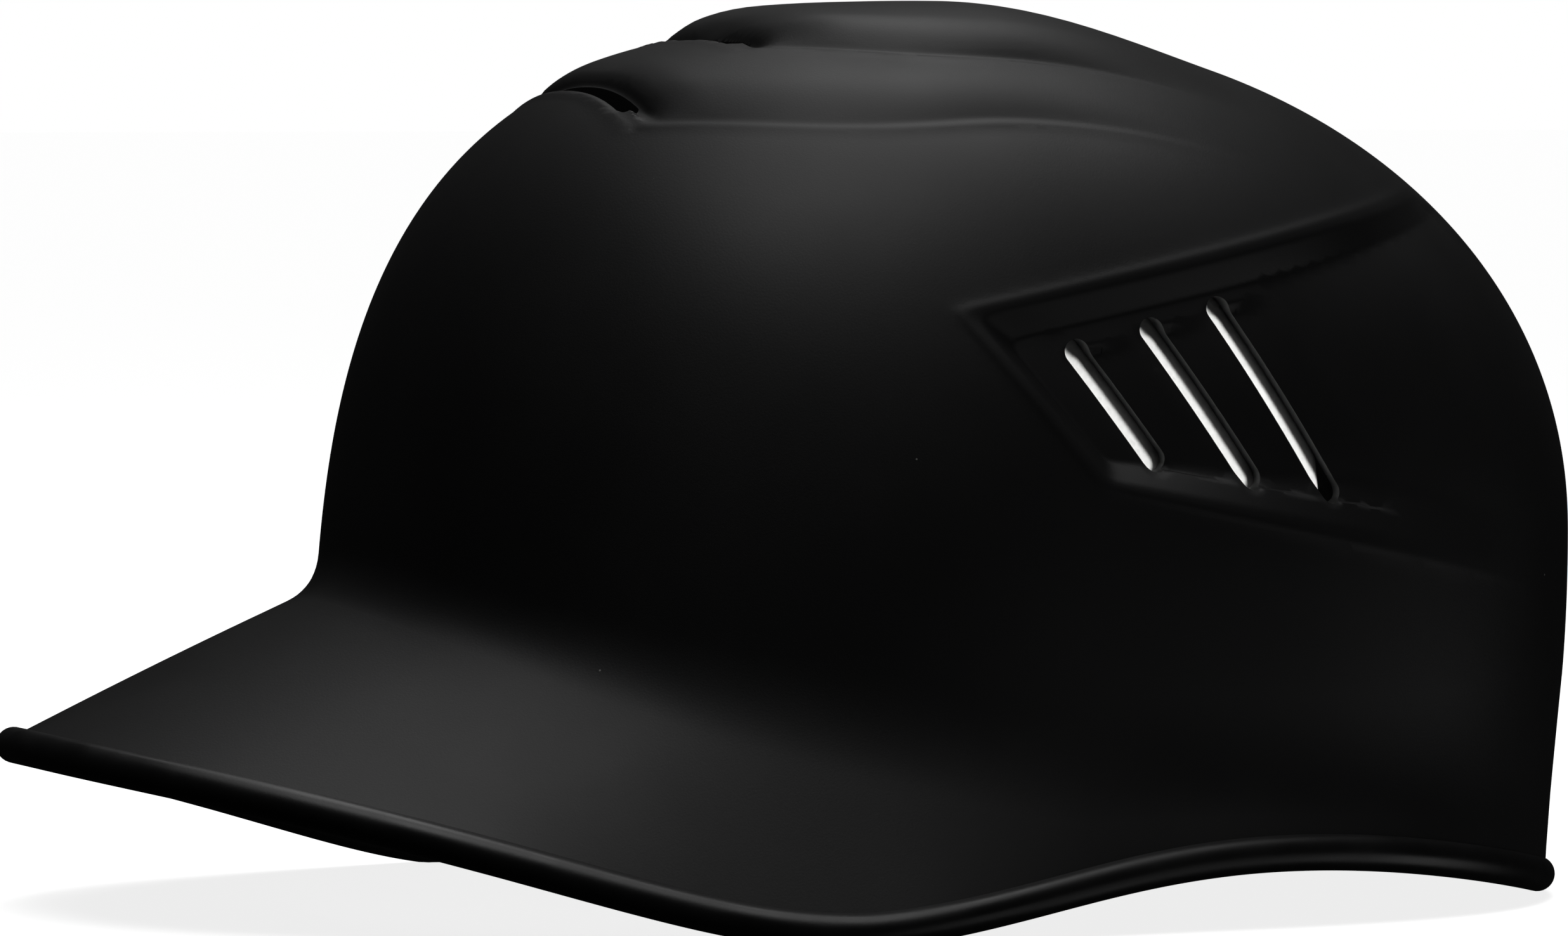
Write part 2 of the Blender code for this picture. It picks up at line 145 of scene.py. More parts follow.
# ---- the head form -----------------------------------------------------------------------------
@dataclass(frozen=True)
class HeadForm:
    """The plain outer skin: a dome, a bill and the edge that the bead sits on."""

    wall: float = 3.0
    front: float = 115.7
    back: float = 124.2
    side: float = 100.0
    crown: float = 165.0
    plan_power: float = 2.23
    widest: float = 46.0
    widest_tilt: float = 23.7
    profile_power: float = 2.6
    profile_share: float = 0.6
    crown_shift: float = -4.6
    shift_power: float = 1.5
    nape_tuck: float = 0.058
    bill_length: float = 60.3
    side_flare: float = 6.0
    temple_flare: float = 8.0
    temple_angle: float = 70.0
    temple_spread: float = 20.0
    back_flare: float = 0.2
    edge_power: float = 2.3
    bill_rise: float = 29.9
    bill_sweep: float = 2.2
    bill_turn: float = 65.0
    ear_rise: float = 11.5
    ear_skew: float = 0.78
    ear_end: float = 171.0
    edge_low: float = 2.0
    crease_front: float = 60.5
    crease_side: float = 27.0
    crease_angle: float = 63.0
    fillet_front: float = 6.5
    fillet_side: float = 16.0
    fillet_spread: float = 0.5
    bill_crown: float = 0.4
    wall_end: float = 0.72
    fillet_end: float = 0.80
    probe: float = 0.002

    def plan_radius(self, angle: Array, front: float, back: float, side: float, power: float) -> Array:
        """Distance from the middle to a squared oval at an angle from straight ahead.

        Args:
            angle: turn from straight ahead, in radians.
            front: reach straight ahead.
            back: reach straight back.
            side: reach to each side.
            power: the oval's squareness, 2 being an ellipse.

        Returns:
            One distance for each angle.
        """
        along = np.cos(angle)
        reach = np.where(along > 0.0, front, back)
        total = (np.abs(along) / reach) ** power + (np.abs(np.sin(angle)) / side) ** power
        return total ** (-1.0 / power)

    def widest_height(self, angle: Array) -> Array:
        """Height at which the dome is widest."""
        return self.widest - self.widest_tilt * np.cos(angle)

    def profile(self, angle: Array) -> Array:
        """Squareness of the profile at an angle."""
        return self.profile_power + self.profile_share * np.cos(angle)

    def dome(self, angle: Array, height: Array) -> Array:
        """Points of the dome at angles and heights.

        Args:
            angle: turn from straight ahead, in radians.
            height: height over the floor.

        Returns:
            Points in millimetres about the middle of the head.
        """
        widest = self.widest_height(angle)
        power = self.profile(angle)
        up = np.clip((height - widest) / (self.crown - widest), 0.0, 1.0)
        radius = self.plan_radius(angle, self.front, self.back, self.side, self.plan_power)
        radius = radius * (1.0 - up**power) ** (1.0 / power)
        under = np.clip((widest - height) / widest, 0.0, None)
        radius = radius * (1.0 - self.nape_tuck * 0.5 * (1.0 - np.cos(angle)) * under**2)
        forward = radius * np.cos(angle) + self.crown_shift * up**self.shift_power
        return np.stack((radius * np.sin(angle), -forward, height + 0.0 * angle), axis=-1)

    def edge(self, angle: Array) -> Array:
        """Points of the skin's lower edge.

        Args:
            angle: turn from straight ahead, in radians.

        Returns:
            Points in millimetres about the middle of the head.
        """
        degrees = np.abs(np.degrees(angle))
        bill = np.clip(1.0 - (degrees / self.bill_turn) ** self.bill_sweep, 0.0, None)
        run = np.clip((degrees - self.bill_turn) / (self.ear_end - self.bill_turn), 0.0, 1.0)
        height = self.edge_low + self.bill_rise * bill**self.bill_sweep
        height = height + self.ear_rise * np.sin(math.pi * run**self.ear_skew) ** 2
        back = self.back * (1.0 - self.nape_tuck) + self.back_flare
        radius = self.plan_radius(angle, self.front + self.bill_length, back,
                                  self.side + self.side_flare, self.edge_power)
        turn = np.degrees(np.arccos(np.clip(np.cos(angle), -1.0, 1.0)))
        off_temple = (turn - self.temple_angle) / self.temple_spread
        radius = radius + self.temple_flare * np.exp(-(off_temple**2))
        return np.stack((radius * np.sin(angle), -radius * np.cos(angle), height), axis=-1)

    def bill_share(self, angle: Array) -> Array:
        """1 at the middle of the bill, falling to 0 behind the temples."""
        return np.exp(-((np.degrees(angle) / self.crease_angle) ** 2))

    def crease(self, angle: Array) -> Array:
        """Height of the crease between dome and bill."""
        return self.crease_side + (self.crease_front - self.crease_side) * self.bill_share(angle)

    def fillet(self, angle: Array) -> Array:
        """How far the crease's fillet runs up the dome and out along the bill."""
        share = self.bill_share(angle) ** self.fillet_spread
        return self.fillet_side + (self.fillet_front - self.fillet_side) * share

    def wall_height(self, angle: Array, share: Array) -> Array:
        """Height of the wall at a share of the way round its profile, from the crown down.

        Args:
            angle: turn from straight ahead, in radians.
            share: 0 at the crown to 1 where the fillet starts.

        Returns:
            Heights over the floor.
        """
        widest = self.widest_height(angle)
        rise = self.crown - widest
        low = self.crease(angle) + self.fillet(angle)
        power = self.profile(angle)
        quarter = 0.5 * math.pi
        lift = np.clip((low - widest) / rise, 0.0, 1.0)
        last = np.where(low > widest, np.arccos(lift ** (0.5 * power)), quarter + (widest - low) / self.side)
        turn = share * last
        above = widest + rise * np.clip(np.cos(turn), 0.0, 1.0) ** (2.0 / power)
        return np.where(turn < quarter, above, widest - (turn - quarter) * self.side)

    def skin(self, angle: Array, row: Array) -> Array:
        """Points of the plain outer skin.

        Args:
            angle: turn from straight ahead, in radians.
            row: 0 at the crown to 1 at the edge.

        Returns:
            Points in millimetres about the middle of the head.
        """
        wall = self.dome(angle, self.wall_height(angle, np.clip(row / self.wall_end, 0.0, 1.0)))
        start = self.dome(angle, self.crease(angle) + self.fillet(angle))
        corner = self.dome(angle, self.crease(angle))
        edge = self.edge(angle)
        span = edge - corner
        length = np.linalg.norm(span, axis=-1)
        size = np.minimum(self.fillet(angle), 0.5 * length)
        finish = corner + span * (size / length)[..., None]
        bend = np.clip((row - self.wall_end) / (self.fillet_end - self.wall_end), 0.0, 1.0)[..., None]
        fillet = (1.0 - bend) ** 2 * start + 2.0 * bend * (1.0 - bend) * corner + bend**2 * finish
        out = np.clip((row - self.fillet_end) / (1.0 - self.fillet_end), 0.0, 1.0)
        brim = finish + (edge - finish) * out[..., None]
        brim[..., 2] += self.bill_crown * 4.0 * out * (1.0 - out) * self.bill_share(angle)
        low = np.where((row <= self.fillet_end)[..., None], fillet, brim)
        return np.where((row <= self.wall_end)[..., None], wall, low)

    def normal(self, angle: Array, row: Array) -> Array:
        """Outward normals of the plain outer skin.

        Args:
            angle: turn from straight ahead, in radians.
            row: 0 at the crown to 1 at the edge.

        Returns:
            Unit vectors.
        """
        probe = self.probe
        around = self.skin(angle + probe, row) - self.skin(angle - probe, row)
        down = self.skin(angle, np.minimum(row + probe, 1.0)) - self.skin(angle, np.maximum(row - probe, 0.0))
        across = np.cross(down, around)
        length = np.linalg.norm(across, axis=-1, keepdims=True)
        across = across / np.maximum(length, TINY)
        return np.where((row < probe)[..., None], np.array((0.0, 0.0, 1.0)), across)

    def side_view(self, places: Array) -> Array:
        """Points as (forward, down from the crown)."""
        return np.stack((-places[..., 1], self.crown - places[..., 2]), axis=-1)


# ---- raised and sunk features ------------------------------------------------------------------
@dataclass(frozen=True)
class Scoop:
    """A hood on the crown behind a slit that runs across it."""

    lip: float
    half: float
    flare: float
    length: float
    height: float
    dip: float
    rise: float
    tail: float = -52.0
    sweep: float = 2.4
    slit: float = 3.6
    slit_margin: float = 5.5
    shoulder: float = 11.0
    foot: float = 0.9
    rim: float = 0.22
    rim_reach: float = 1.0
    rim_ahead: float = 1.2
    roll: float = 0.9
    roll_depth: float = 0.5
    nose: float = 2.6
    nose_depth: float = 1.3

    def inside(self, places: Array) -> Array:
        """Distance inside the hood's side, negative outside.

        Args:
            places: points on the plain skin.

        Returns:
            One distance for each point.
        """
        run = np.clip((self.lip + places[..., 1]) / self.length, 0.0, 1.0)
        width = self.half + self.flare * (1.0 - (1.0 - run) ** self.sweep)
        slope = self.flare * self.sweep / self.length * (1.0 - run) ** (self.sweep - 1.0)
        return (width - np.abs(places[..., 0])) / np.sqrt(1.0 + slope**2)

    def along(self, places: Array) -> Array:
        """Distance behind the slit's rear edge."""
        return self.lip - self.slit + places[..., 1]

    def fade(self, places: Array) -> Array:
        """1 along the hood, falling to 0 at its tail."""
        return ease((-places[..., 1] - self.tail) / (self.lip - self.length - self.tail))

    def lift(self, places: Array) -> Array:
        """Height of the hood, of the rim at its foot and of the slit's rolled lips.

        Args:
            places: points on the plain skin.

        Returns:
            One height for each point.
        """
        inside = self.inside(places)
        behind = self.along(places)
        width = np.maximum(inside + np.abs(places[..., 0]), 1.0)
        side = step_up(inside, self.shoulder, self.foot, self.shoulder - 2.0 * self.foot)
        front = step_up(behind + self.roll, self.rise, self.foot, self.rise - 2.0 * self.foot)
        saddle = 1.0 - self.dip * ease(1.0 - np.abs(places[..., 0]) / width)
        hood = self.height * side * front * self.fade(places) * saddle
        beside = np.exp(-(((inside + 0.5 * self.rim_reach) / self.rim_reach) ** 2))
        beside = beside * ease((behind + self.slit + self.roll) / self.slit) * self.fade(places)
        ahead = behind + self.slit
        before = np.exp(-(((ahead + self.rim_ahead * self.rim_reach) / self.rim_reach) ** 2))
        before = before * ease(inside + 1.0)
        edge = np.maximum(-ahead, np.maximum(behind, self.slit_margin - inside))
        rolled = self.roll_depth * (1.0 - np.clip(edge / self.roll, 0.0, 1.0)) ** 2
        nose = (1.0 - np.clip(behind / self.nose, 0.0, 1.0)) ** 2 * (ahead > 0.5 * self.slit)
        nose = self.nose_depth * nose * ease(inside / self.slit_margin)
        return hood + self.rim * np.maximum(beside, before) - np.maximum(rolled, nose)

    def near(self, places: Array, reach: float) -> Array:
        """Whether points lie near the hood's foot or the slit's edges.

        Args:
            places: points on the plain skin.
            reach: what counts as near.

        Returns:
            True or false for each point.
        """
        inside = self.inside(places)
        behind = self.along(places)
        foot = (np.abs(inside) < reach) & (behind > -self.slit) & (-places[..., 1] > self.tail)
        slit = (behind > -self.slit - reach) & (behind < reach) & (inside > -reach)
        return foot | slit


@dataclass(frozen=True)
class SideSlot:
    """A slanted vent with a sunk louvre behind it, seen from the side as (forward, down)."""

    top: Spot
    bottom: Spot
    width: float = 4.8
    roll: float = 0.8
    roll_depth: float = 0.25
    sink: float = 1.9
    reach: float = 9.5
    ledge: float = 0.7
    ledge_bend: float = 0.3
    brow: float = 2.2
    brow_bend: float = 0.4
    end_drop: float = 0.4

    def across(self, spots: Array) -> Array:
        """Distance behind the slot's middle line."""
        return line_distance(spots, self.bottom, self.top)

    def outline(self, spots: Array) -> Array:
        """Distance outside the slot's outline, negative inside.

        Args:
            spots: points as (forward, down).

        Returns:
            One distance for each point.
        """
        run = np.subtract(self.bottom, self.top)
        share = np.clip((spots - np.asarray(self.top)) @ run / (run @ run), 0.0, 1.0)
        nearest = np.asarray(self.top) + share[..., None] * run
        return np.linalg.norm(spots - nearest, axis=-1) - 0.5 * self.width

    def ledges(self, spots: Array, up: Spot, down: Spot) -> tuple[Array, Array]:
        """Distances inside the ledges that end the louvre at its top and its bottom.

        Args:
            spots: points as (forward, down).
            up: direction of the panel's top edge, rearwards.
            down: direction of the panel's lower edge, forwards.

        Returns:
            Distance below the top ledge and distance above the bottom ledge.
        """
        run = np.subtract(self.bottom, self.top) / math.dist(self.bottom, self.top)
        high = np.asarray(self.top) - 0.5 * self.width * run
        low = np.asarray(self.bottom) + self.end_drop * self.width * run
        below = line_distance(spots, tuple(high), tuple(high + np.asarray(up)))
        above = line_distance(spots, tuple(low - np.asarray(down)), tuple(low))
        return below, above

    def lift(self, spots: Array, up: Spot, down: Spot) -> Array:
        """Depth of the louvre and of the slot's rolled edge, as a negative height.

        Args:
            spots: points as (forward, down).
            up: direction of the panel's top edge, rearwards.
            down: direction of the panel's lower edge, forwards.

        Returns:
            One height for each point.
        """
        behind = self.across(spots)
        below, above = self.ledges(spots, up, down)
        fall = np.clip(1.0 - (behind - 0.5 * self.width) / self.reach, 0.0, 1.0) * (behind > 0.0)
        bend = self.brow_bend * self.brow
        sunk = fall * step_up(below, self.brow, bend, bend)
        bend = self.ledge_bend * self.ledge
        sunk = sunk * step_up(above, self.ledge, bend, bend)
        rolled = (1.0 - np.clip(self.outline(spots) / self.roll, 0.0, 1.0)) ** 2
        return -self.sink * sunk - self.roll_depth * rolled

    def backing(self, spots: Array) -> Array:
        """Depth of the wall's inner face under the louvre, faded evenly all round the slot."""
        return -self.sink * ease(1.0 - self.outline(spots) / self.reach)

    def near(self, spots: Array, up: Spot, down: Spot, reach: float) -> Array:
        """Whether points lie near the slot's outline or its louvre's ledges.

        Args:
            spots: points as (forward, down).
            up: direction of the panel's top edge, rearwards.
            down: direction of the panel's lower edge, forwards.
            reach: what counts as near.

        Returns:
            True or false for each point.
        """
        behind = self.across(spots)
        below, above = self.ledges(spots, up, down)
        ledge = (np.abs(below) < self.brow) | (np.abs(above) < reach)
        louvre = (behind > 0.0) & (behind < self.reach + reach)
        return (np.abs(self.outline(spots)) < reach) | (ledge & louvre)


@dataclass(frozen=True)
class SidePanel:
    """The sunk, arrow-shaped field on each side of the dome, with its slots."""

    tip: Spot = (23.2, 53.0)
    corner: Spot = (-0.5, 83.2)
    top_end: Spot = (-62.0, 35.8)
    low_end: Spot = (-92.0, 102.5)
    depth: float = 3.6
    top_wall: float = 5.0
    front_wall: float = 3.6
    low_wall: float = 4.4
    low_wall_spread: float = 7.0
    low_wall_run: float = 55.0
    lip: float = 0.9
    toe: float = 0.6
    rounding: float = 1.1
    rim: float = 0.28
    rim_reach: float = 1.1
    fade_start: float = -44.0
    fade_end: float = -106.0
    slots: tuple[SideSlot, ...] = (
        SideSlot((2.2, 59.8), (-11.5, 79.3)),
        SideSlot((-13.0, 56.0), (-30.7, 82.8)),
        SideSlot((-27.2, 52.3), (-47.5, 85.6)),
    )

    def direction(self, start: Spot, finish: Spot) -> Spot:
        """Unit direction between two points of the outline."""
        span = math.dist(start, finish)
        return ((finish[0] - start[0]) / span, (finish[1] - start[1]) / span)

    def edges(self, spots: Array) -> tuple[Array, Array, Array]:
        """Distances inside the top, front and lower edges.

        Args:
            spots: points as (forward, down).

        Returns:
            Three distances for each point.
        """
        above = line_distance(spots, self.tip, self.top_end)
        ahead = line_distance(spots, self.corner, self.tip)
        below = line_distance(spots, self.low_end, self.corner)
        return above, ahead, below

    def inside(self, spots: Array) -> Array:
        """Distance inside the outline, with rounded corners."""
        above, ahead, below = self.edges(spots)
        return soft_min(soft_min(above, ahead, self.rounding), below, 0.5 * self.rounding)

    def lift(self, spots: Array, inner: bool = False) -> Array:
        """Depth of the panel, as a negative height, with a fine raised rim along its edge.

        Args:
            spots: points as (forward, down).
            inner: whether it is for the wall's inner face, which has no louvres of its own.

        Returns:
            One height for each point.
        """
        above, ahead, below = self.edges(spots)
        back = np.clip((self.corner[0] - spots[..., 0]) / self.low_wall_run, 0.0, 1.0)
        low_wall = self.low_wall + self.low_wall_spread * back
        share = soft_min(above / self.top_wall, ahead / self.front_wall, self.rounding / self.front_wall)
        share = soft_min(share, below / low_wall, 0.5 * self.rounding / self.low_wall)
        sunk = step_up(share, 1.0, self.lip / self.top_wall, self.toe / self.top_wall)
        fade = ease((spots[..., 0] - self.fade_end) / (self.fade_start - self.fade_end))
        rim = np.exp(-(((self.inside(spots) + self.rim_reach) / self.rim_reach) ** 2))
        lift = (self.rim * rim - self.depth * sunk) * fade
        top = self.direction(self.tip, self.top_end)
        low = self.direction(self.low_end, self.corner)
        for slot in self.slots:
            lift = lift + (slot.backing(spots) if inner else slot.lift(spots, top, low))
        return lift

    def near(self, spots: Array, reach: float) -> Array:
        """Whether points lie near an edge of the panel or of its slots.

        Args:
            spots: points as (forward, down).
            reach: what counts as near.

        Returns:
            True or false for each point.
        """
        inside = self.inside(spots)
        close = (inside > -2.0 * reach) & (inside < self.top_wall + reach) & (spots[..., 0] > self.fade_end)
        top = self.direction(self.tip, self.top_end)
        low = self.direction(self.low_end, self.corner)
        for slot in self.slots:
            close = close | slot.near(spots, top, low, reach)
        return close


@dataclass(frozen=True)
class Features:
    """Everything raised over or sunk into the plain skin."""

    front_scoop: Scoop = Scoop(lip=70.5, half=38.0, flare=29.0, length=57.0, height=2.0, dip=0.7, rise=10.0)
    rear_scoop: Scoop = Scoop(lip=46.0, half=30.0, flare=21.5, length=45.0, height=4.2, dip=0.0, rise=15.0)
    panel: SidePanel = SidePanel()
    side_share: float = 0.4  # the panels lie further out than this share of the half width
    crown_share: float = 0.6  # the hoods lie higher than this share of the crown's height

    def lift(self, form: HeadForm, places: Array, inner: bool = False) -> Array:
        """Height of all features at places on the plain skin, or on the wall's inner face.

        Args:
            form: the plain skin.
            places: points on it.
            inner: whether it is for the wall's inner face.

        Returns:
            One height for each point.
        """
        crown = self.front_scoop.lift(places) + self.rear_scoop.lift(places)
        beside = np.abs(places[..., 0]) > self.side_share * form.side
        return crown + self.panel.lift(form.side_view(places), inner) * beside

    def near(self, form: HeadForm, places: Array, reach: float) -> Array:
        """Whether places lie near the edge of a feature.

        Args:
            form: the plain skin.
            places: points on it.
            reach: what counts as near.

        Returns:
            True or false for each point.
        """
        crown = places[..., 2] > self.crown_share * form.crown
        crown = crown & (self.front_scoop.near(places, reach) | self.rear_scoop.near(places, reach))
        beside = np.abs(places[..., 0]) > self.side_share * form.side
        return crown | (beside & self.panel.near(form.side_view(places), reach))


# ---- mesh tools --------------------------------------------------------------------------------
def vertex_array(bm: bmesh.types.BMesh) -> Array:
    """Positions of all vertices."""
    return np.array([vert.co for vert in bm.verts])


def layer_array(bm: bmesh.types.BMesh, name: str) -> Array:
    """Values of a vertex layer."""
    layer = bm.verts.layers.float[name]
    return np.array([vert[layer] for vert in bm.verts])


def place_vertices(bm: bmesh.types.BMesh, places: Array) -> None:
    """Put every vertex in its place."""
    for vert, place in zip(bm.verts, places.tolist()):
        vert.co = place


def laid_grid(columns: Array, rows: Array, names: Sequence[str] = ("angle", "row")) -> bmesh.types.BMesh:
    """A grid that remembers the column and row value of each vertex.

    Args:
        columns: the value of each column.
        rows: the value of each row.
        names: names of the two vertex layers that hold the values.

    Returns:
        A flat grid, not yet put in place.
    """
    bm = bmesh.new()
    wide, tall = len(columns) - 1, len(rows) - 1
    bmesh.ops.create_grid(bm, x_segments=wide, y_segments=tall, size=1.0)
    column_of = bm.verts.layers.float.new(names[0])
    row_of = bm.verts.layers.float.new(names[1])
    for vert in bm.verts:
        vert[column_of] = columns[round((vert.co.x + 1.0) * 0.5 * wide)]
        vert[row_of] = rows[round((vert.co.y + 1.0) * 0.5 * tall)]
    return bm


@dataclass(frozen=True)
class Bench:
    """Where meshes are finished: moves them from the head's middle into the frame."""

    head_y: float
    gap: float = 0.3
    smooth_angle: float = 38.0
    merge: float = 0.01

    def finish(self, name: str, bm: bmesh.types.BMesh,
               material: bpy.types.Material | None = None) -> bpy.types.Object:
        """Make an object of a mesh in millimetres.

        Args:
            name: the piece's name.
            bm: its mesh, which is freed.
            material: its finish.

        Returns:
            The object, at the origin, with its place in its mesh.
        """
        bmesh.ops.recalc_face_normals(bm, faces=bm.faces)
        bmesh.ops.scale(bm, vec=(MM, MM, MM), verts=bm.verts)
        bmesh.ops.translate(bm, vec=(0.0, self.head_y * MM, 0.0), verts=bm.verts)
        mesh = bpy.data.meshes.new(name)
        bm.to_mesh(mesh)
        bm.free()
        item = bpy.data.objects.new(name, mesh)
        bpy.context.scene.collection.objects.link(item)
        if material:
            mesh.materials.append(material)
        self.smooth(item)
        return item

    def smooth(self, item: bpy.types.Object) -> None:
        """Shade a piece smooth, with its real corners kept sharp."""
        item.data.shade_smooth()
        item.data.set_sharp_from_angle(angle=math.radians(self.smooth_angle))

    def apply(self, item: bpy.types.Object) -> None:
        """Make the piece's modifiers part of its mesh.

        Args:
            item: the piece, which loses its modifiers.
        """
        graph = bpy.context.evaluated_depsgraph_get()
        mesh = bpy.data.meshes.new_from_object(item.evaluated_get(graph))
        item.modifiers.clear()
        item.data = mesh


# ---- shader tools ------------------------------------------------------------------------------
class Wire:
    """A shader socket that Python's operators join to numbers and other sockets."""

    def __init__(self, graph: "Graph", socket: bpy.types.NodeSocket) -> None:
        """Hold a socket and the graph it belongs to."""
        self.graph = graph
        self.socket = socket

    def _maths(self, operation: str, first: "Wire | float", second: "Wire | float") -> "Wire":
        """A Math node on two values."""
        made = self.graph.node("ShaderNodeMath", {"operation": operation}, {0: first, 1: second})
        return self.graph.wire(made, 0)

    def __add__(self, other: "Wire | float") -> "Wire":
        """Sum."""
        return self._maths("ADD", self, other)

    def __mul__(self, other: "Wire | float") -> "Wire":
        """Product."""
        return self._maths("MULTIPLY", self, other)

    def __gt__(self, other: "Wire | float") -> "Wire":
        """1 where this is the greater."""
        return self._maths("GREATER_THAN", self, other)

    def __lt__(self, other: "Wire | float") -> "Wire":
        """1 where this is the smaller."""
        return self._maths("LESS_THAN", self, other)


class Graph:
    """The node tree of one material."""

    def __init__(self, name: str) -> None:
        """Start a material with one Principled shader.

        Args:
            name: the material's name.
        """
        self.material = bpy.data.materials.new(name)
        self.material.use_nodes = True
        self.tree = self.material.node_tree
        self.shader = self.tree.nodes["Principled BSDF"]
        self.place = self.wire(self.node("ShaderNodeTexCoord"), "Object")

    def wire(self, made: bpy.types.Node, output: str | int) -> Wire:
        """One output of a node."""
        return Wire(self, made.outputs[output])

    def node(self, kind: str, settings: Mapping[str, object] | None = None,
             inputs: Mapping[str | int, object] | None = None) -> bpy.types.Node:
        """Add a node.

        Args:
            kind: the node's type.
            settings: its properties.
            inputs: values or wires for its sockets, by name or number.

        Returns:
            The node.
        """
        made = self.tree.nodes.new(kind)
        for key, value in (settings or {}).items():
            setattr(made, key, value)
        self.feed(made, inputs or {})
        return made

    def feed(self, made: bpy.types.Node, inputs: Mapping[str | int, object]) -> None:
        """Set or link a node's sockets.

        Args:
            made: the node.
            inputs: values or wires for its sockets, by name or number.
        """
        for key, value in inputs.items():
            if isinstance(value, Wire):
                self.tree.links.new(value.socket, made.inputs[key])
            else:
                made.inputs[key].default_value = value

    def noise(self, scale: float, detail: float = 2.0, roughness: float = 0.5) -> Wire:
        """Cloudy noise in the piece's own space."""
        inputs = {"Vector": self.place, "Scale": scale, "Detail": detail, "Roughness": roughness}
        return self.wire(self.node("ShaderNodeTexNoise", inputs=inputs), "Fac")

    def cells(self, scale: float) -> bpy.types.Node:
        """Scattered cells in the piece's own space."""
        inputs = {"Vector": self.place, "Scale": scale}
        return self.node("ShaderNodeTexVoronoi", {"feature": "F1"}, inputs)

    def stretch(self, value: Wire, to_low: float, to_high: float) -> Wire:
        """Map the range that noise mostly lies in to another.

        Args:
            value: the noise.
            to_low: what its low end becomes.
            to_high: what its high end becomes.

        Returns:
            The new values.
        """
        low, high = NOISE_RANGE
        inputs = {"Value": value, "From Min": low, "From Max": high, "To Min": to_low, "To Max": to_high}
        return self.wire(self.node("ShaderNodeMapRange", inputs=inputs), "Result")

    def blend(self, share: Wire, first: Colour, second: Colour) -> Wire:
        """Mix two colours."""
        inputs = {MIX_FACTOR: share, MIX_FIRST: (*first, 1.0), MIX_SECOND: (*second, 1.0)}
        return self.wire(self.node("ShaderNodeMix", {"data_type": "RGBA"}, inputs), MIX_RESULT)

    def bump(self, height: Wire, strength: float, distance: float) -> Wire:
        """A normal from a height."""
        inputs = {"Height": height, "Strength": strength, "Distance": distance}
        return self.wire(self.node("ShaderNodeBump", inputs=inputs), "Normal")


@dataclass(frozen=True)
class MouldedPlastic:
    """Matte black moulded plastic: fine grain, faint uneven sheen and a little dust."""

    name: str = "moulded_shell_plastic"
    dark: Colour = (0.0085, 0.0085, 0.0088)
    light: Colour = (0.0125, 0.0125, 0.0128)
    dust_colour: Colour = (0.30, 0.30, 0.29)
    specular: float = 0.42
    roughness: tuple[float, float] = (0.44, 0.52)
    smudge_scale: float = 22.0
    smudge_detail: float = 4.0
    grain_scale: float = 2600.0
    grain_detail: float = 3.0
    grain_roughness: float = 0.6
    grain_depth: float = 0.00006
    grain_strength: float = 0.35
    ripple_scale: float = 240.0
    ripple_share: float = 0.6
    dust_scale: float = 95.0
    dust_size: float = 0.017
    dust_share: float = 0.86

    def make(self) -> bpy.types.Material:
        """Build the material.

        Returns:
            The material.
        """
        graph = Graph(self.name)
        smudge = graph.noise(self.smudge_scale, self.smudge_detail)
        specks = graph.cells(self.dust_scale)
        near = graph.wire(specks, "Distance") < self.dust_size
        parts = graph.wire(graph.node("ShaderNodeSeparateColor", inputs={0: graph.wire(specks, "Color")}), 0)
        dust = near * (parts > self.dust_share)
        body = graph.blend(smudge, self.dark, self.light)
        coloured = graph.node("ShaderNodeMix", {"data_type": "RGBA"},
                              {MIX_FACTOR: dust, MIX_FIRST: body, MIX_SECOND: (*self.dust_colour, 1.0)})
        grain = graph.noise(self.grain_scale, self.grain_detail, self.grain_roughness)
        grain = grain + graph.noise(self.ripple_scale) * self.ripple_share
        low, high = self.roughness
        graph.feed(graph.shader, {
            "Base Color": graph.wire(coloured, MIX_RESULT),
            "Roughness": graph.stretch(smudge, low, high),
            "Specular IOR Level": self.specular,
            "Normal": graph.bump(grain, self.grain_strength, self.grain_depth),
        })
        return graph.material


@dataclass(frozen=True)
class BeadRubber:
    """Satin black rubber with faint drawn streaks and scuffs."""

    name: str = "bead_rubber"
    dark: Colour = (0.006, 0.006, 0.0062)
    light: Colour = (0.011, 0.011, 0.0112)
    specular: float = 0.5
    roughness: tuple[float, float] = (0.30, 0.42)
    scuff_scale: float = 60.0
    scuff_detail: float = 5.0
    scuff_roughness: float = 0.6
    grain_scale: float = 1500.0
    grain_depth: float = 0.00005
    grain_strength: float = 0.25

    def make(self) -> bpy.types.Material:
        """Build the material.

        Returns:
            The material.
        """
        graph = Graph(self.name)
        scuff = graph.noise(self.scuff_scale, self.scuff_detail, self.scuff_roughness)
        low, high = self.roughness
        graph.feed(graph.shader, {
            "Base Color": graph.blend(scuff, self.dark, self.light),
            "Roughness": graph.stretch(scuff, low, high),
            "Specular IOR Level": self.specular,
            "Normal": graph.bump(graph.noise(self.grain_scale), self.grain_strength, self.grain_depth),
        })
        return graph.material


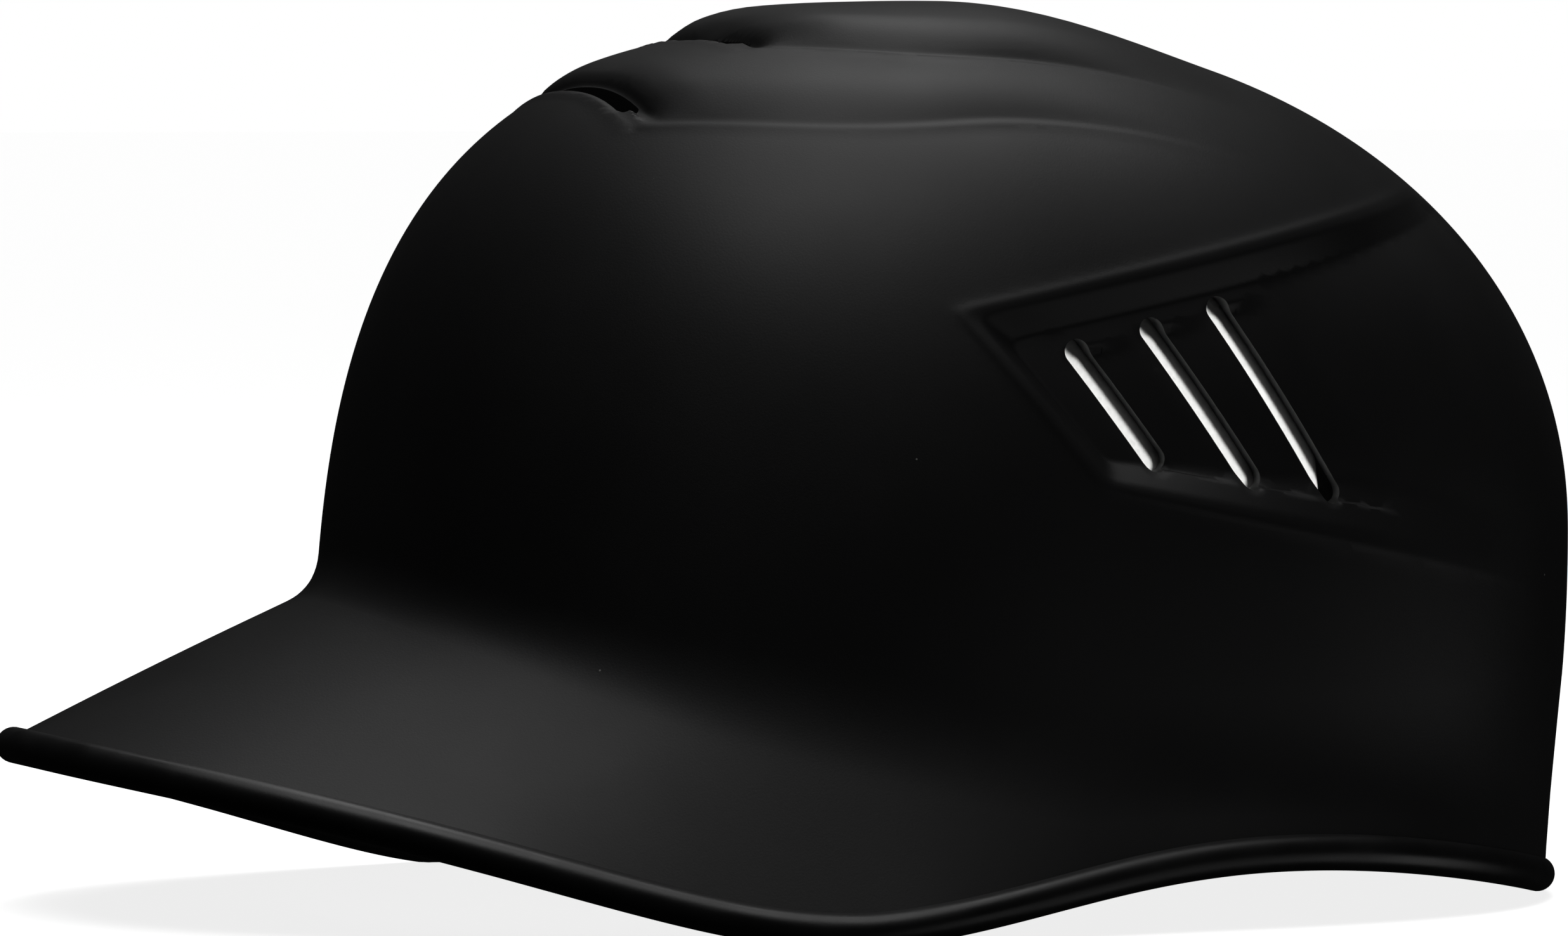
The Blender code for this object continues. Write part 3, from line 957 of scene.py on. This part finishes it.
@dataclass(frozen=True)
class PadFoam:
    """Light closed-cell foam with small round cells."""

    name: str = "impact_foam"
    dark: Colour = (0.74, 0.74, 0.72)
    light: Colour = (0.88, 0.88, 0.86)
    roughness: float = 0.86
    cell_scale: float = 900.0
    cell_depth: float = 0.00025
    cell_strength: float = 0.6
    mottle_scale: float = 70.0
    mottle_detail: float = 3.0
    mottle_share: float = 0.5
    cell_share: float = 0.8

    def make(self) -> bpy.types.Material:
        """Build the material.

        Returns:
            The material.
        """
        graph = Graph(self.name)
        cells = graph.wire(graph.cells(self.cell_scale), "Distance")
        mottle = graph.noise(self.mottle_scale, self.mottle_detail) * self.mottle_share
        mottle = mottle + cells * self.cell_share
        graph.feed(graph.shader, {
            "Base Color": graph.blend(mottle, self.dark, self.light),
            "Roughness": self.roughness,
            "Normal": graph.bump(cells, self.cell_strength, self.cell_depth),
        })
        return graph.material


@dataclass(frozen=True)
class KnitCloth:
    """Brushed dark knit over the comfort pads, with its loops in two directions."""

    name: str = "comfort_knit"
    dark: Colour = (0.012, 0.012, 0.014)
    light: Colour = (0.060, 0.060, 0.066)
    roughness: float = 0.95
    sheen: float = 0.35
    sheen_roughness: float = 0.5
    loop_scale: float = 210.0
    loop_wander: float = 1.5
    loop_detail: float = 1.0
    loop_depth: float = 0.0003
    loop_strength: float = 0.8
    pile_scale: float = 900.0
    pile_share: float = 0.4

    def make(self) -> bpy.types.Material:
        """Build the material.

        Returns:
            The material.
        """
        graph = Graph(self.name)
        loops = []
        for direction in ("X", "Z"):
            settings = {"wave_type": "BANDS", "bands_direction": direction}
            inputs = {"Vector": graph.place, "Scale": self.loop_scale,
                      "Distortion": self.loop_wander, "Detail": self.loop_detail}
            loops.append(graph.wire(graph.node("ShaderNodeTexWave", settings, inputs), "Fac"))
        knit = loops[0] * loops[1] + graph.noise(self.pile_scale) * self.pile_share
        graph.feed(graph.shader, {
            "Base Color": graph.blend(knit, self.dark, self.light),
            "Roughness": self.roughness,
            "Sheen Weight": self.sheen,
            "Sheen Roughness": self.sheen_roughness,
            "Normal": graph.bump(knit, self.loop_strength, self.loop_depth),
        })
        return graph.material


@dataclass(frozen=True)
class Finishes:
    """The materials of the helmet, made once."""

    plastic: bpy.types.Material = field(default_factory=lambda: MouldedPlastic().make())
    rubber: bpy.types.Material = field(default_factory=lambda: BeadRubber().make())
    foam: bpy.types.Material = field(default_factory=lambda: PadFoam().make())
    knit: bpy.types.Material = field(default_factory=lambda: KnitCloth().make())


# ---- the shell ---------------------------------------------------------------------------------
@dataclass
class OuterShell:
    """The moulded shell with its crown slits, side panels and slots."""

    form: HeadForm
    features: Features
    bench: Bench
    column_runs: tuple[tuple[float, float], ...] = ((56.0, 1.9), (144.0, 0.92), (180.0, 1.8))
    row_runs: tuple[tuple[float, float], ...] = ((0.12, 0.012), (0.66, 0.0062), (0.80, 0.008), (1.0, 0.014))
    inner_rows: int = 84
    detail_reach: float = 1.7
    detail_cuts: int = 2
    fold: float = 1e-4
    slot_reach: float = 40.0
    slot_inset: float = 10.0
    slit_top: float = 6.0
    slit_depth: float = 30.0
    round_segments: int = 7
    round_share: float = 0.48

    def half_mesh(self) -> bmesh.types.BMesh:
        """The left half: one sheet folded at the edge, finer along the edge of every feature.

        Returns:
            A sheet with float layers "angle" and "row".
        """
        columns = np.radians(steps(*self.column_runs))
        rows = steps(*self.row_runs)
        inner = 1.0 + np.linspace(0.0, 1.0, self.inner_rows + 1)
        level = np.concatenate((rows, inner + self.fold))
        bm = laid_grid(columns, level)
        self.settle(bm)
        bmesh.ops.remove_doubles(bm, verts=bm.verts, dist=self.bench.merge)
        places = vertex_array(bm)
        outer = layer_array(bm, "row") <= 1.0
        close = outer & self.features.near(self.form, places, self.detail_reach)
        bm.verts.ensure_lookup_table()
        wanted = [edge for edge in bm.edges if close[edge.verts[0].index] and close[edge.verts[1].index]]
        bmesh.ops.subdivide_edges(bm, edges=wanted, cuts=self.detail_cuts, use_grid_fill=True)
        self.settle(bm)
        return bm

    def settle(self, bm: bmesh.types.BMesh) -> None:
        """Put the sheet's vertices on the finished skin, outside or inside.

        Args:
            bm: the sheet, with its "angle" and "row" layers.
        """
        bm.verts.index_update()
        angle = layer_array(bm, "angle")
        level = layer_array(bm, "row")
        inner = level > 1.0
        row = np.clip(np.where(inner, 2.0 - level, level), 0.0, 1.0)
        place = self.form.skin(angle, row)
        normal = self.form.normal(angle, row)
        outside = self.features.lift(self.form, place)
        inside = self.features.lift(self.form, place, inner=True) - self.form.wall
        placed = place + normal * np.where(inner, inside, outside)[:, None]
        middle = (np.sin(angle) < ON_MIDDLE) | (row < ON_MIDDLE)
        placed[middle, 0] = 0.0
        place_vertices(bm, placed)

    def slot_cutter(self, slot: SideSlot, side: Side) -> bpy.types.Object:
        """A slab with round ends that reaches through the wall along a slot.

        Args:
            slot: the slot.
            side: the side of the helmet.

        Returns:
            The cutter.
        """
        run = Vector((0.0, slot.top[0] - slot.bottom[0], slot.top[1] - slot.bottom[1]))
        bm = bmesh.new()
        bmesh.ops.create_cube(bm, size=1.0)
        bmesh.ops.scale(bm, vec=(self.slot_reach, slot.width, run.length + slot.width), verts=bm.verts)
        corners = [edge for edge in bm.edges
                   if abs(edge.verts[0].co.x - edge.verts[1].co.x) > 0.5 * self.slot_reach]
        bmesh.ops.bevel(bm, geom=corners, offset=self.round_share * slot.width,
                        segments=self.round_segments, profile=0.5, affect="EDGES", material=-1)
        lean = math.atan2(run.y, run.z)
        bmesh.ops.rotate(bm, cent=(0.0, 0.0, 0.0), matrix=Matrix.Rotation(-lean, 3, "X"), verts=bm.verts)
        middle = Vector((side.value * (self.form.side - self.slot_inset),
                         -0.5 * (slot.top[0] + slot.bottom[0]),
                         self.form.crown - 0.5 * (slot.top[1] + slot.bottom[1])))
        bmesh.ops.translate(bm, vec=middle, verts=bm.verts)
        return self.bench.finish("cutter", bm)

    def slit_cutter(self, scoop: Scoop) -> bpy.types.Object:
        """A slab with round ends across the crown, just behind a lip.

        Args:
            scoop: the hood that the slit is ahead of.

        Returns:
            The cutter.
        """
        bm = bmesh.new()
        bmesh.ops.create_cube(bm, size=1.0)
        size = (2.0 * (scoop.half - scoop.slit_margin), scoop.slit, self.slit_depth)
        bmesh.ops.scale(bm, vec=size, verts=bm.verts)
        corners = [edge for edge in bm.edges
                   if abs(edge.verts[0].co.z - edge.verts[1].co.z) > 0.5 * self.slit_depth]
        bmesh.ops.bevel(bm, geom=corners, offset=self.round_share * scoop.slit,
                        segments=self.round_segments, profile=0.5, affect="EDGES", material=-1)
        middle = (0.0, -scoop.lip + 0.5 * scoop.slit, self.form.crown + self.slit_top - 0.5 * self.slit_depth)
        bmesh.ops.translate(bm, vec=middle, verts=bm.verts)
        return self.bench.finish("cutter", bm)

    def build(self, material: bpy.types.Material) -> bpy.types.Object:
        """Make the shell and cut its vents.

        Args:
            material: the shell's finish.

        Returns:
            The finished shell.
        """
        bm = self.half_mesh()
        geometry = bm.verts[:] + bm.edges[:] + bm.faces[:]
        bmesh.ops.mirror(bm, geom=geometry, axis="X", merge_dist=self.bench.merge)
        shell = self.bench.finish("moulded_shell", bm, material)
        cutters = [self.slot_cutter(slot, side) for slot in self.features.panel.slots for side in Side]
        cutters += [self.slit_cutter(self.features.front_scoop), self.slit_cutter(self.features.rear_scoop)]
        for cutter in cutters:
            cut = shell.modifiers.new("vent", "BOOLEAN")
            cut.object = cutter
            cut.operation = "DIFFERENCE"
            cut.solver = "EXACT"
        self.bench.apply(shell)
        for cutter in cutters:
            bpy.data.objects.remove(cutter, do_unlink=True)
        self.bench.smooth(shell)
        return shell


# ---- the edge bead -----------------------------------------------------------------------------
@dataclass
class EdgeBead:
    """The round rubber bead pushed over the shell's edge, with a butt joint at the nape."""

    form: HeadForm
    bench: Bench
    radius: float = 3.4
    grip: float = 0.9
    butt_gap: float = 0.35
    columns: int = 420
    sides: int = 26
    slope_row: float = 0.98

    def outline(self) -> Array:
        """The bead's section as (outward, along): a round with a groove for the wall.

        Returns:
            One point for each of the section's corners.
        """
        groove = 0.5 * self.form.wall + self.bench.gap
        mouth = math.asin(groove / self.radius)
        turn = np.linspace(mouth, 2.0 * math.pi - mouth, self.sides + 1)
        arc = np.stack((self.radius * np.sin(turn), -self.radius * np.cos(turn)), axis=-1)
        depth = self.grip + self.bench.gap
        return np.concatenate((arc, ((-groove, depth), (groove, depth))))

    def build(self, material: bpy.types.Material) -> bpy.types.Object:
        """Sweep the section round the edge from nape to nape.

        Args:
            material: the bead's finish.

        Returns:
            The bead.
        """
        outline = self.outline()
        first = math.radians(180.0 - self.butt_gap)
        bm = laid_grid(np.linspace(-first, first, self.columns + 1), np.arange(len(outline) + 1.0))
        angle = layer_array(bm, "angle")
        section = outline[layer_array(bm, "row").round().astype(int) % len(outline)]
        edge = np.ones_like(angle)
        normal = self.form.normal(angle, edge)
        down = self.form.skin(angle, edge) - self.form.skin(angle, edge * self.slope_row)
        down = down / np.linalg.norm(down, axis=-1, keepdims=True)
        middle = self.form.skin(angle, edge) - normal * 0.5 * self.form.wall - down * self.grip
        placed = middle + normal * section[:, :1] + down * section[:, 1:]
        placed[:, 2] = np.maximum(placed[:, 2], 0.0)
        place_vertices(bm, placed)
        bmesh.ops.remove_doubles(bm, verts=bm.verts, dist=self.bench.merge)
        bmesh.ops.holes_fill(bm, edges=bm.edges, sides=0)
        return self.bench.finish("edge_bead", bm, material)


# ---- the liner ---------------------------------------------------------------------------------
@dataclass(frozen=True)
class PadPlace:
    """Where a pad lies on the skin, in columns of 180 / 38 degrees and rows of 1 / 26."""

    label: str
    columns: tuple[int, int]
    rows: tuple[int, int]
    sunk: bool = False
    stride: int = 1
    column_step: float = 180.0 / 38.0
    row_step: float = 1.0 / 26.0

    @property
    def full_turn(self) -> bool:
        """Whether the pad goes all the way round the crown."""
        return (self.columns[1] - self.columns[0]) * self.column_step > NEARLY_ROUND

    def sheet(self, split: int, inset: float) -> bmesh.types.BMesh:
        """A flat sheet over the place that remembers its angles and rows.

        Args:
            split: cells for each column and each row.
            inset: share of a column and a row by which its border is drawn in.

        Returns:
            The sheet, not yet put in place.
        """
        low, high = self.columns
        count = (high - low) // self.stride * split
        columns = np.linspace(low, high, count + 1)
        rows = np.linspace(self.rows[0], self.rows[1], (self.rows[1] - self.rows[0]) * split + 1)
        rows = np.minimum(rows, self.rows[1] - inset)
        if not self.full_turn:
            columns = np.clip(columns, low + inset, high - inset)
            rows = np.maximum(rows, self.rows[0] + inset)
        return laid_grid(np.radians(columns * self.column_step), rows * self.row_step)


PLACES = (
    PadPlace("brow", (-6, 6), (15, 18)),
    PadPlace("nape", (34, 42), (13, 18)),
    PadPlace("crown", (-38, 38), (0, 3), stride=4),
)
PAIRED_PLACES = (
    PadPlace("temple", (7, 12), (14, 18)),
    PadPlace("side", (13, 25), (11, 18), sunk=True),
    PadPlace("rear", (26, 33), (12, 18), sunk=True),
    PadPlace("upper", (9, 27), (6, 9)),
)


@dataclass
class Liner:
    """Firm foam glued to the shell, with knit-covered comfort pads on it."""

    form: HeadForm
    bench: Bench
    finishes: Finishes
    sunk_depth: float = 5.6
    firm: float = 9.0
    soft: float = 5.0
    soft_inset: float = 0.42
    firm_inset: float = 0.02
    firm_round: float = 1.4
    rim_angle: float = 0.9
    firm_split: int = 2
    soft_split: int = 3
    voxel: float = 2.6
    slim: float = 0.5
    pressure: float = 4.0
    swell: float = 1.3
    frames: int = 20
    seam_inset: float = 0.55
    seam_depth: float = 0.9
    seam_width: float = 1.3
    seam_side: float = 2.0
    seam_end: float = 1.6
    seam_columns: int = 200
    seam_rows: int = 80

    def block(self, place: PadPlace, top: float, bottom: float, split: int,
              inset: float) -> bmesh.types.BMesh:
        """A closed block under the skin, between two depths.

        Args:
            place: where the pad lies.
            top: depth of its outer face.
            bottom: depth of its inner face.
            split: cells for each column and each row.
            inset: share of a cell by which its border is drawn in.

        Returns:
            The closed mesh.
        """
        bm = place.sheet(split, inset)
        self.sink(bm, bm.verts, top)
        bmesh.ops.remove_doubles(bm, verts=bm.verts, dist=self.bench.merge)
        raised = bmesh.ops.extrude_face_region(bm, geom=bm.faces[:])
        lower = [item for item in raised["geom"] if isinstance(item, bmesh.types.BMVert)]
        self.sink(bm, lower, bottom)
        return bm

    def sink(self, bm: bmesh.types.BMesh, verts: Sequence[bmesh.types.BMVert], depth: float) -> None:
        """Put vertices at a depth under the plain skin.

        Args:
            bm: the mesh, with its "angle" and "row" layers.
            verts: the vertices to move.
            depth: how far under the skin they go.
        """
        angle_of = bm.verts.layers.float["angle"]
        row_of = bm.verts.layers.float["row"]
        angle = np.array([vert[angle_of] for vert in verts])
        row = np.array([vert[row_of] for vert in verts])
        places = self.form.skin(angle, row) - self.form.normal(angle, row) * depth
        for vert, spot in zip(verts, places.tolist()):
            vert.co = spot

    def impact_pad(self, place: PadPlace) -> bpy.types.Object:
        """A firm foam block with rounded edges.

        Args:
            place: where the pad lies.

        Returns:
            The block.
        """
        top = self.form.wall + self.bench.gap + (self.sunk_depth if place.sunk else 0.0)
        bottom = self.form.wall + self.bench.gap + self.firm
        bm = self.block(place, top, bottom, self.firm_split, self.firm_inset)
        bmesh.ops.recalc_face_normals(bm, faces=bm.faces)
        rims = [edge for edge in bm.edges if edge.is_manifold and edge.calc_face_angle() > self.rim_angle]
        bmesh.ops.bevel(bm, geom=rims, offset=self.firm_round, segments=3, profile=0.5,
                        affect="EDGES", material=-1, clamp_overlap=True)
        return self.bench.finish(f"{place.label}_impact_foam", bm, self.finishes.foam)

    def comfort_blank(self, place: PadPlace) -> bpy.types.Object:
        """The slightly small, remeshed shape that the soft pad swells from.

        Args:
            place: where the pad lies.

        Returns:
            The blank.
        """
        top = self.form.wall + self.bench.gap + self.firm + self.bench.gap
        bm = self.block(place, top + self.slim, top + self.soft - self.slim, self.soft_split, self.soft_inset)
        blank = self.bench.finish(f"{place.label}_knit_pad", bm, self.finishes.knit)
        remesh = blank.modifiers.new("voxels", "REMESH")
        remesh.mode = "VOXEL"
        remesh.voxel_size = self.voxel * MM
        self.bench.apply(blank)
        blank.data.materials.clear()
        blank.data.materials.append(self.finishes.knit)
        return blank

    def inflate(self, blanks: Sequence[bpy.types.Object]) -> None:
        """Swell the soft pads by cloth simulation, each point only a little.

        Args:
            blanks: the remeshed pads, which get their final meshes.
        """
        starts = []
        for blank in blanks:
            starts.append(np.array([vert.co for vert in blank.data.vertices]))
            cloth = blank.modifiers.new("swell", "CLOTH")
            cloth.settings.use_pressure = True
            cloth.settings.uniform_pressure_force = self.pressure
            cloth.settings.effector_weights.gravity = 0.0
        for number in range(1, self.frames + 1):
            bpy.context.scene.frame_set(number)
        for blank, start in zip(blanks, starts):
            self.bench.apply(blank)
            moved = np.array([vert.co for vert in blank.data.vertices]) - start
            length = np.linalg.norm(moved, axis=-1, keepdims=True)
            cap = self.swell * MM
            moved = moved * np.minimum(1.0, cap / np.maximum(length, TINY))
            blank.data.vertices.foreach_set("co", (start + moved).ravel())
        bpy.context.scene.frame_set(1)

    def seam_path(self, place: PadPlace) -> Array:
        """Points along the sewn line near a soft pad's border, in the frame.

        Args:
            place: where the pad lies.

        Returns:
            Points in metres.
        """
        low, high = (value * place.column_step for value in place.columns)
        first, last = (value * place.row_step for value in place.rows)
        side, end = self.seam_inset * place.column_step, self.seam_inset * place.row_step
        side, end = self.seam_side * side, self.seam_end * end
        around = np.radians(np.linspace(low + side, high - side, self.seam_columns))
        down = np.linspace(first + end, last - end, self.seam_rows)
        pieces = [(around, np.full_like(around, down[0])), (around, np.full_like(around, down[-1]))]
        if not place.full_turn:
            pieces += [(np.full_like(down, around[0]), down), (np.full_like(down, around[-1]), down)]
        angle = np.concatenate([piece[0] for piece in pieces])
        row = np.concatenate([piece[1] for piece in pieces])
        depth = self.form.wall + 2.0 * self.bench.gap + self.firm + self.soft
        places = self.form.skin(angle, row) - self.form.normal(angle, row) * depth
        return places * MM + np.array((0.0, self.bench.head_y * MM, 0.0))

    def sew(self, pad: bpy.types.Object, place: PadPlace) -> None:
        """Subdivide a soft pad and draw in its sewn line.

        Args:
            pad: the swollen pad.
            place: where it lies.
        """
        smooth = pad.modifiers.new("smooth", "SUBSURF")
        smooth.levels = 1
        smooth.render_levels = 1
        self.bench.apply(pad)
        path = self.seam_path(place)
        tree = KDTree(len(path))
        for number, spot in enumerate(path):
            tree.insert(spot, number)
        tree.balance()
        width, depth = self.seam_width * MM, self.seam_depth * MM
        for vert in pad.data.vertices:
            distance = tree.find(vert.co)[2]
            vert.co -= vert.normal * depth * math.exp(-((distance / width) ** 2))
        pad.data.shade_smooth()

    def mirrored(self, pad: bpy.types.Object, name: str) -> bpy.types.Object:
        """A right-hand copy of a left-hand pad.

        Args:
            pad: the left-hand pad.
            name: the copy's name.

        Returns:
            The copy.
        """
        bm = bmesh.new()
        bm.from_mesh(pad.data)
        bmesh.ops.scale(bm, vec=(-1.0, 1.0, 1.0), verts=bm.verts)
        bmesh.ops.reverse_faces(bm, faces=bm.faces)
        mesh = bpy.data.meshes.new(name)
        bm.to_mesh(mesh)
        bm.free()
        mesh.materials.append(pad.data.materials[0])
        item = bpy.data.objects.new(name, mesh)
        bpy.context.scene.collection.objects.link(item)
        return item

    def build(self) -> list[tuple[bpy.types.Object, str, str]]:
        """Make every pad.

        Returns:
            Each pad with the CAD node it stands for and its material slot.
        """
        places = PLACES + PAIRED_PLACES
        blanks = [self.comfort_blank(place) for place in places]
        self.inflate(blanks)
        made = []
        for place, soft in zip(places, blanks):
            self.sew(soft, place)
            hard = self.impact_pad(place)
            pads = ((hard, "impact", "impact_foam"), (soft, "comfort", "comfort_cloth"))
            for pad, kind, slot in pads:
                if place in PLACES:
                    made.append((pad, f"{place.label}_{kind}_pad", slot))
                    continue
                base = pad.name
                pad.name = f"left_{base}"
                copy = self.mirrored(pad, f"right_{base}")
                made.append((pad, f"left_{place.label}_{kind}_pad", slot))
                made.append((copy, f"right_{place.label}_{kind}_pad", slot))
        return made


# ---- the studio --------------------------------------------------------------------------------
@dataclass(frozen=True)
class SoftBox:
    """A square area light aimed at the helmet."""

    name: str
    azimuth: float
    elevation: float
    power: float
    size: float = 1.0
    distance: float = 1.8

    def place(self, target: Vector) -> bpy.types.Object:
        """Hang the light.

        Args:
            target: the point it shines at.

        Returns:
            The light.
        """
        turn, lift = math.radians(self.azimuth), math.radians(self.elevation)
        away = Vector((math.sin(turn) * math.cos(lift), -math.cos(turn) * math.cos(lift), math.sin(lift)))
        lamp = bpy.data.lights.new(self.name, "AREA")
        lamp.energy = self.power
        lamp.size = self.size
        item = bpy.data.objects.new(self.name, lamp)
        item.location = target + away * self.distance
        item.rotation_euler = (-away).to_track_quat("-Z", "Y").to_euler()
        item.visible_camera = False
        bpy.context.scene.collection.objects.link(item)
        return item


@dataclass
class Studio:
    """A pale floor, soft lights and the camera."""

    target: Vector
    azimuth: float = 70.0
    elevation: float = 2.1
    distance: float = 2.0
    lens: float = 241.2
    sensor: float = 36.0
    aim_right: float = -0.026
    aim_up: float = 0.0
    floor_size: float = 60.0
    floor_colour: Colour = (0.90, 0.90, 0.90)
    floor_glow: float = 0.84
    sun_strength: float = 0.5
    sun_angle: float = 60.0
    surround: Colour = (1.0, 1.0, 1.0)
    room: float = 0.004
    boxes: tuple[SoftBox, ...] = (
        SoftBox("crown_box", 230.0, 72.0, 5.0),
        SoftBox("rim_box", 250.0, 50.0, 1.8),
        SoftBox("key_box", 60.0, 66.0, 4.0),
        SoftBox("front_box", 70.0, 54.0, 0.8),
        SoftBox("low_side_fill", 115.0, -25.0, 0.8),
        SoftBox("low_back_fill", 160.0, -25.0, 1.6),
    )

    foam_box: SoftBox = SoftBox("foam_box", 112.0, 16.0, 30.0, size=0.35)

    def floor(self) -> bpy.types.Object:
        """The plain floor, a light table that the low fills shine up through.

        Returns:
            The floor.
        """
        bm = bmesh.new()
        bmesh.ops.create_grid(bm, x_segments=1, y_segments=1, size=0.5 * self.floor_size)
        mesh = bpy.data.meshes.new("floor")
        bm.to_mesh(mesh)
        bm.free()
        floor = bpy.data.objects.new("floor", mesh)
        bpy.context.scene.collection.objects.link(floor)
        graph = Graph("floor_paint")
        graph.feed(graph.shader, {"Base Color": (*self.floor_colour, 1.0), "Roughness": 1.0,
                                  "Specular IOR Level": 0.0, "Emission Color": (*self.surround, 1.0),
                                  "Emission Strength": self.floor_glow})
        mesh.materials.append(graph.material)
        floor.visible_glossy = False
        floor.visible_diffuse = False
        floor.visible_shadow = False
        return floor

    def light(self, foam: list[bpy.types.Object]) -> None:
        """Sun as an overhead soft light, the boxes and the pale surround.

        Args:
            foam: the foam blocks, which have a soft box of their own so that they read in the slots.
        """
        lamp = bpy.data.lights.new("overhead", "SUN")
        lamp.energy = self.sun_strength
        lamp.angle = math.radians(self.sun_angle)
        item = bpy.data.objects.new("overhead", lamp)
        bpy.context.scene.collection.objects.link(item)
        for box in self.boxes:
            box.place(self.target)
        lit = bpy.data.collections.new("lit_foam")
        for piece in foam:
            lit.objects.link(piece)
        self.foam_box.place(self.target).light_linking.receiver_collection = lit
        world = bpy.data.worlds.new("studio")
        bpy.context.scene.world = world
        world.use_nodes = True
        tree = world.node_tree
        back = tree.nodes["Background"]
        seen = tree.nodes.new("ShaderNodeLightPath")
        reach = tree.nodes.new("ShaderNodeMapRange")
        reach.inputs["To Min"].default_value = self.room
        reach.inputs["To Max"].default_value = 1.0
        tree.links.new(seen.outputs["Is Camera Ray"], reach.inputs["Value"])
        tree.links.new(reach.outputs["Result"], back.inputs["Strength"])
        back.inputs["Color"].default_value = (*self.surround, 1.0)

    def camera(self) -> None:
        """Set the camera on the wearer's left, a little ahead."""
        turn, lift = math.radians(self.azimuth), math.radians(self.elevation)
        away = Vector((math.sin(turn) * math.cos(lift), -math.cos(turn) * math.cos(lift), math.sin(lift)))
        right = Vector((math.cos(turn), math.sin(turn), 0.0))
        place = self.target + away * self.distance
        aim = self.target + right * self.aim_right + Vector((0.0, 0.0, self.aim_up))
        data = bpy.data.cameras.new("camera")
        data.sensor_width = self.sensor
        data.lens = self.lens
        item = bpy.data.objects.new("camera", data)
        item.location = place
        item.rotation_euler = (aim - place).to_track_quat("-Z", "Y").to_euler()
        bpy.context.scene.collection.objects.link(item)
        bpy.context.scene.camera = item


# ---- putting it together -----------------------------------------------------------------------
def fit(piece: bpy.types.Object, node: str) -> None:
    """Hide the CAD node that a piece stands for and attach the piece to its body.

    Args:
        piece: the finished piece.
        node: the CAD node it stands for.
    """
    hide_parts(node)
    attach(piece, BODY)
    LOG.info("%s: %d faces", piece.name, len(piece.data.polygons))


def main() -> None:
    """Build the helmet and its studio."""
    logging.basicConfig(level=logging.INFO)
    form = HeadForm()
    head_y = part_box("outer_shell")[1].y / MM - form.back
    bench = Bench(head_y)
    finishes = Finishes()
    fit(OuterShell(form, Features(), bench).build(finishes.plastic), "outer_shell")
    fit(EdgeBead(form, bench).build(finishes.rubber), "edge_trim")
    foam = []
    for pad, node, slot in Liner(form, bench, finishes).build():
        fit(pad, node)
        1.0 if "impact" in node else 0.8
        if slot == "impact_foam":
            foam.append(pad)
    studio = Studio(Vector((0.0, head_y * MM, LOOK_HEIGHT)))
    studio.floor()
    studio.light(foam)
    studio.camera()
    bpy.context.scene.view_settings.view_transform = "Standard"


if __name__ == "__main__":
    main()
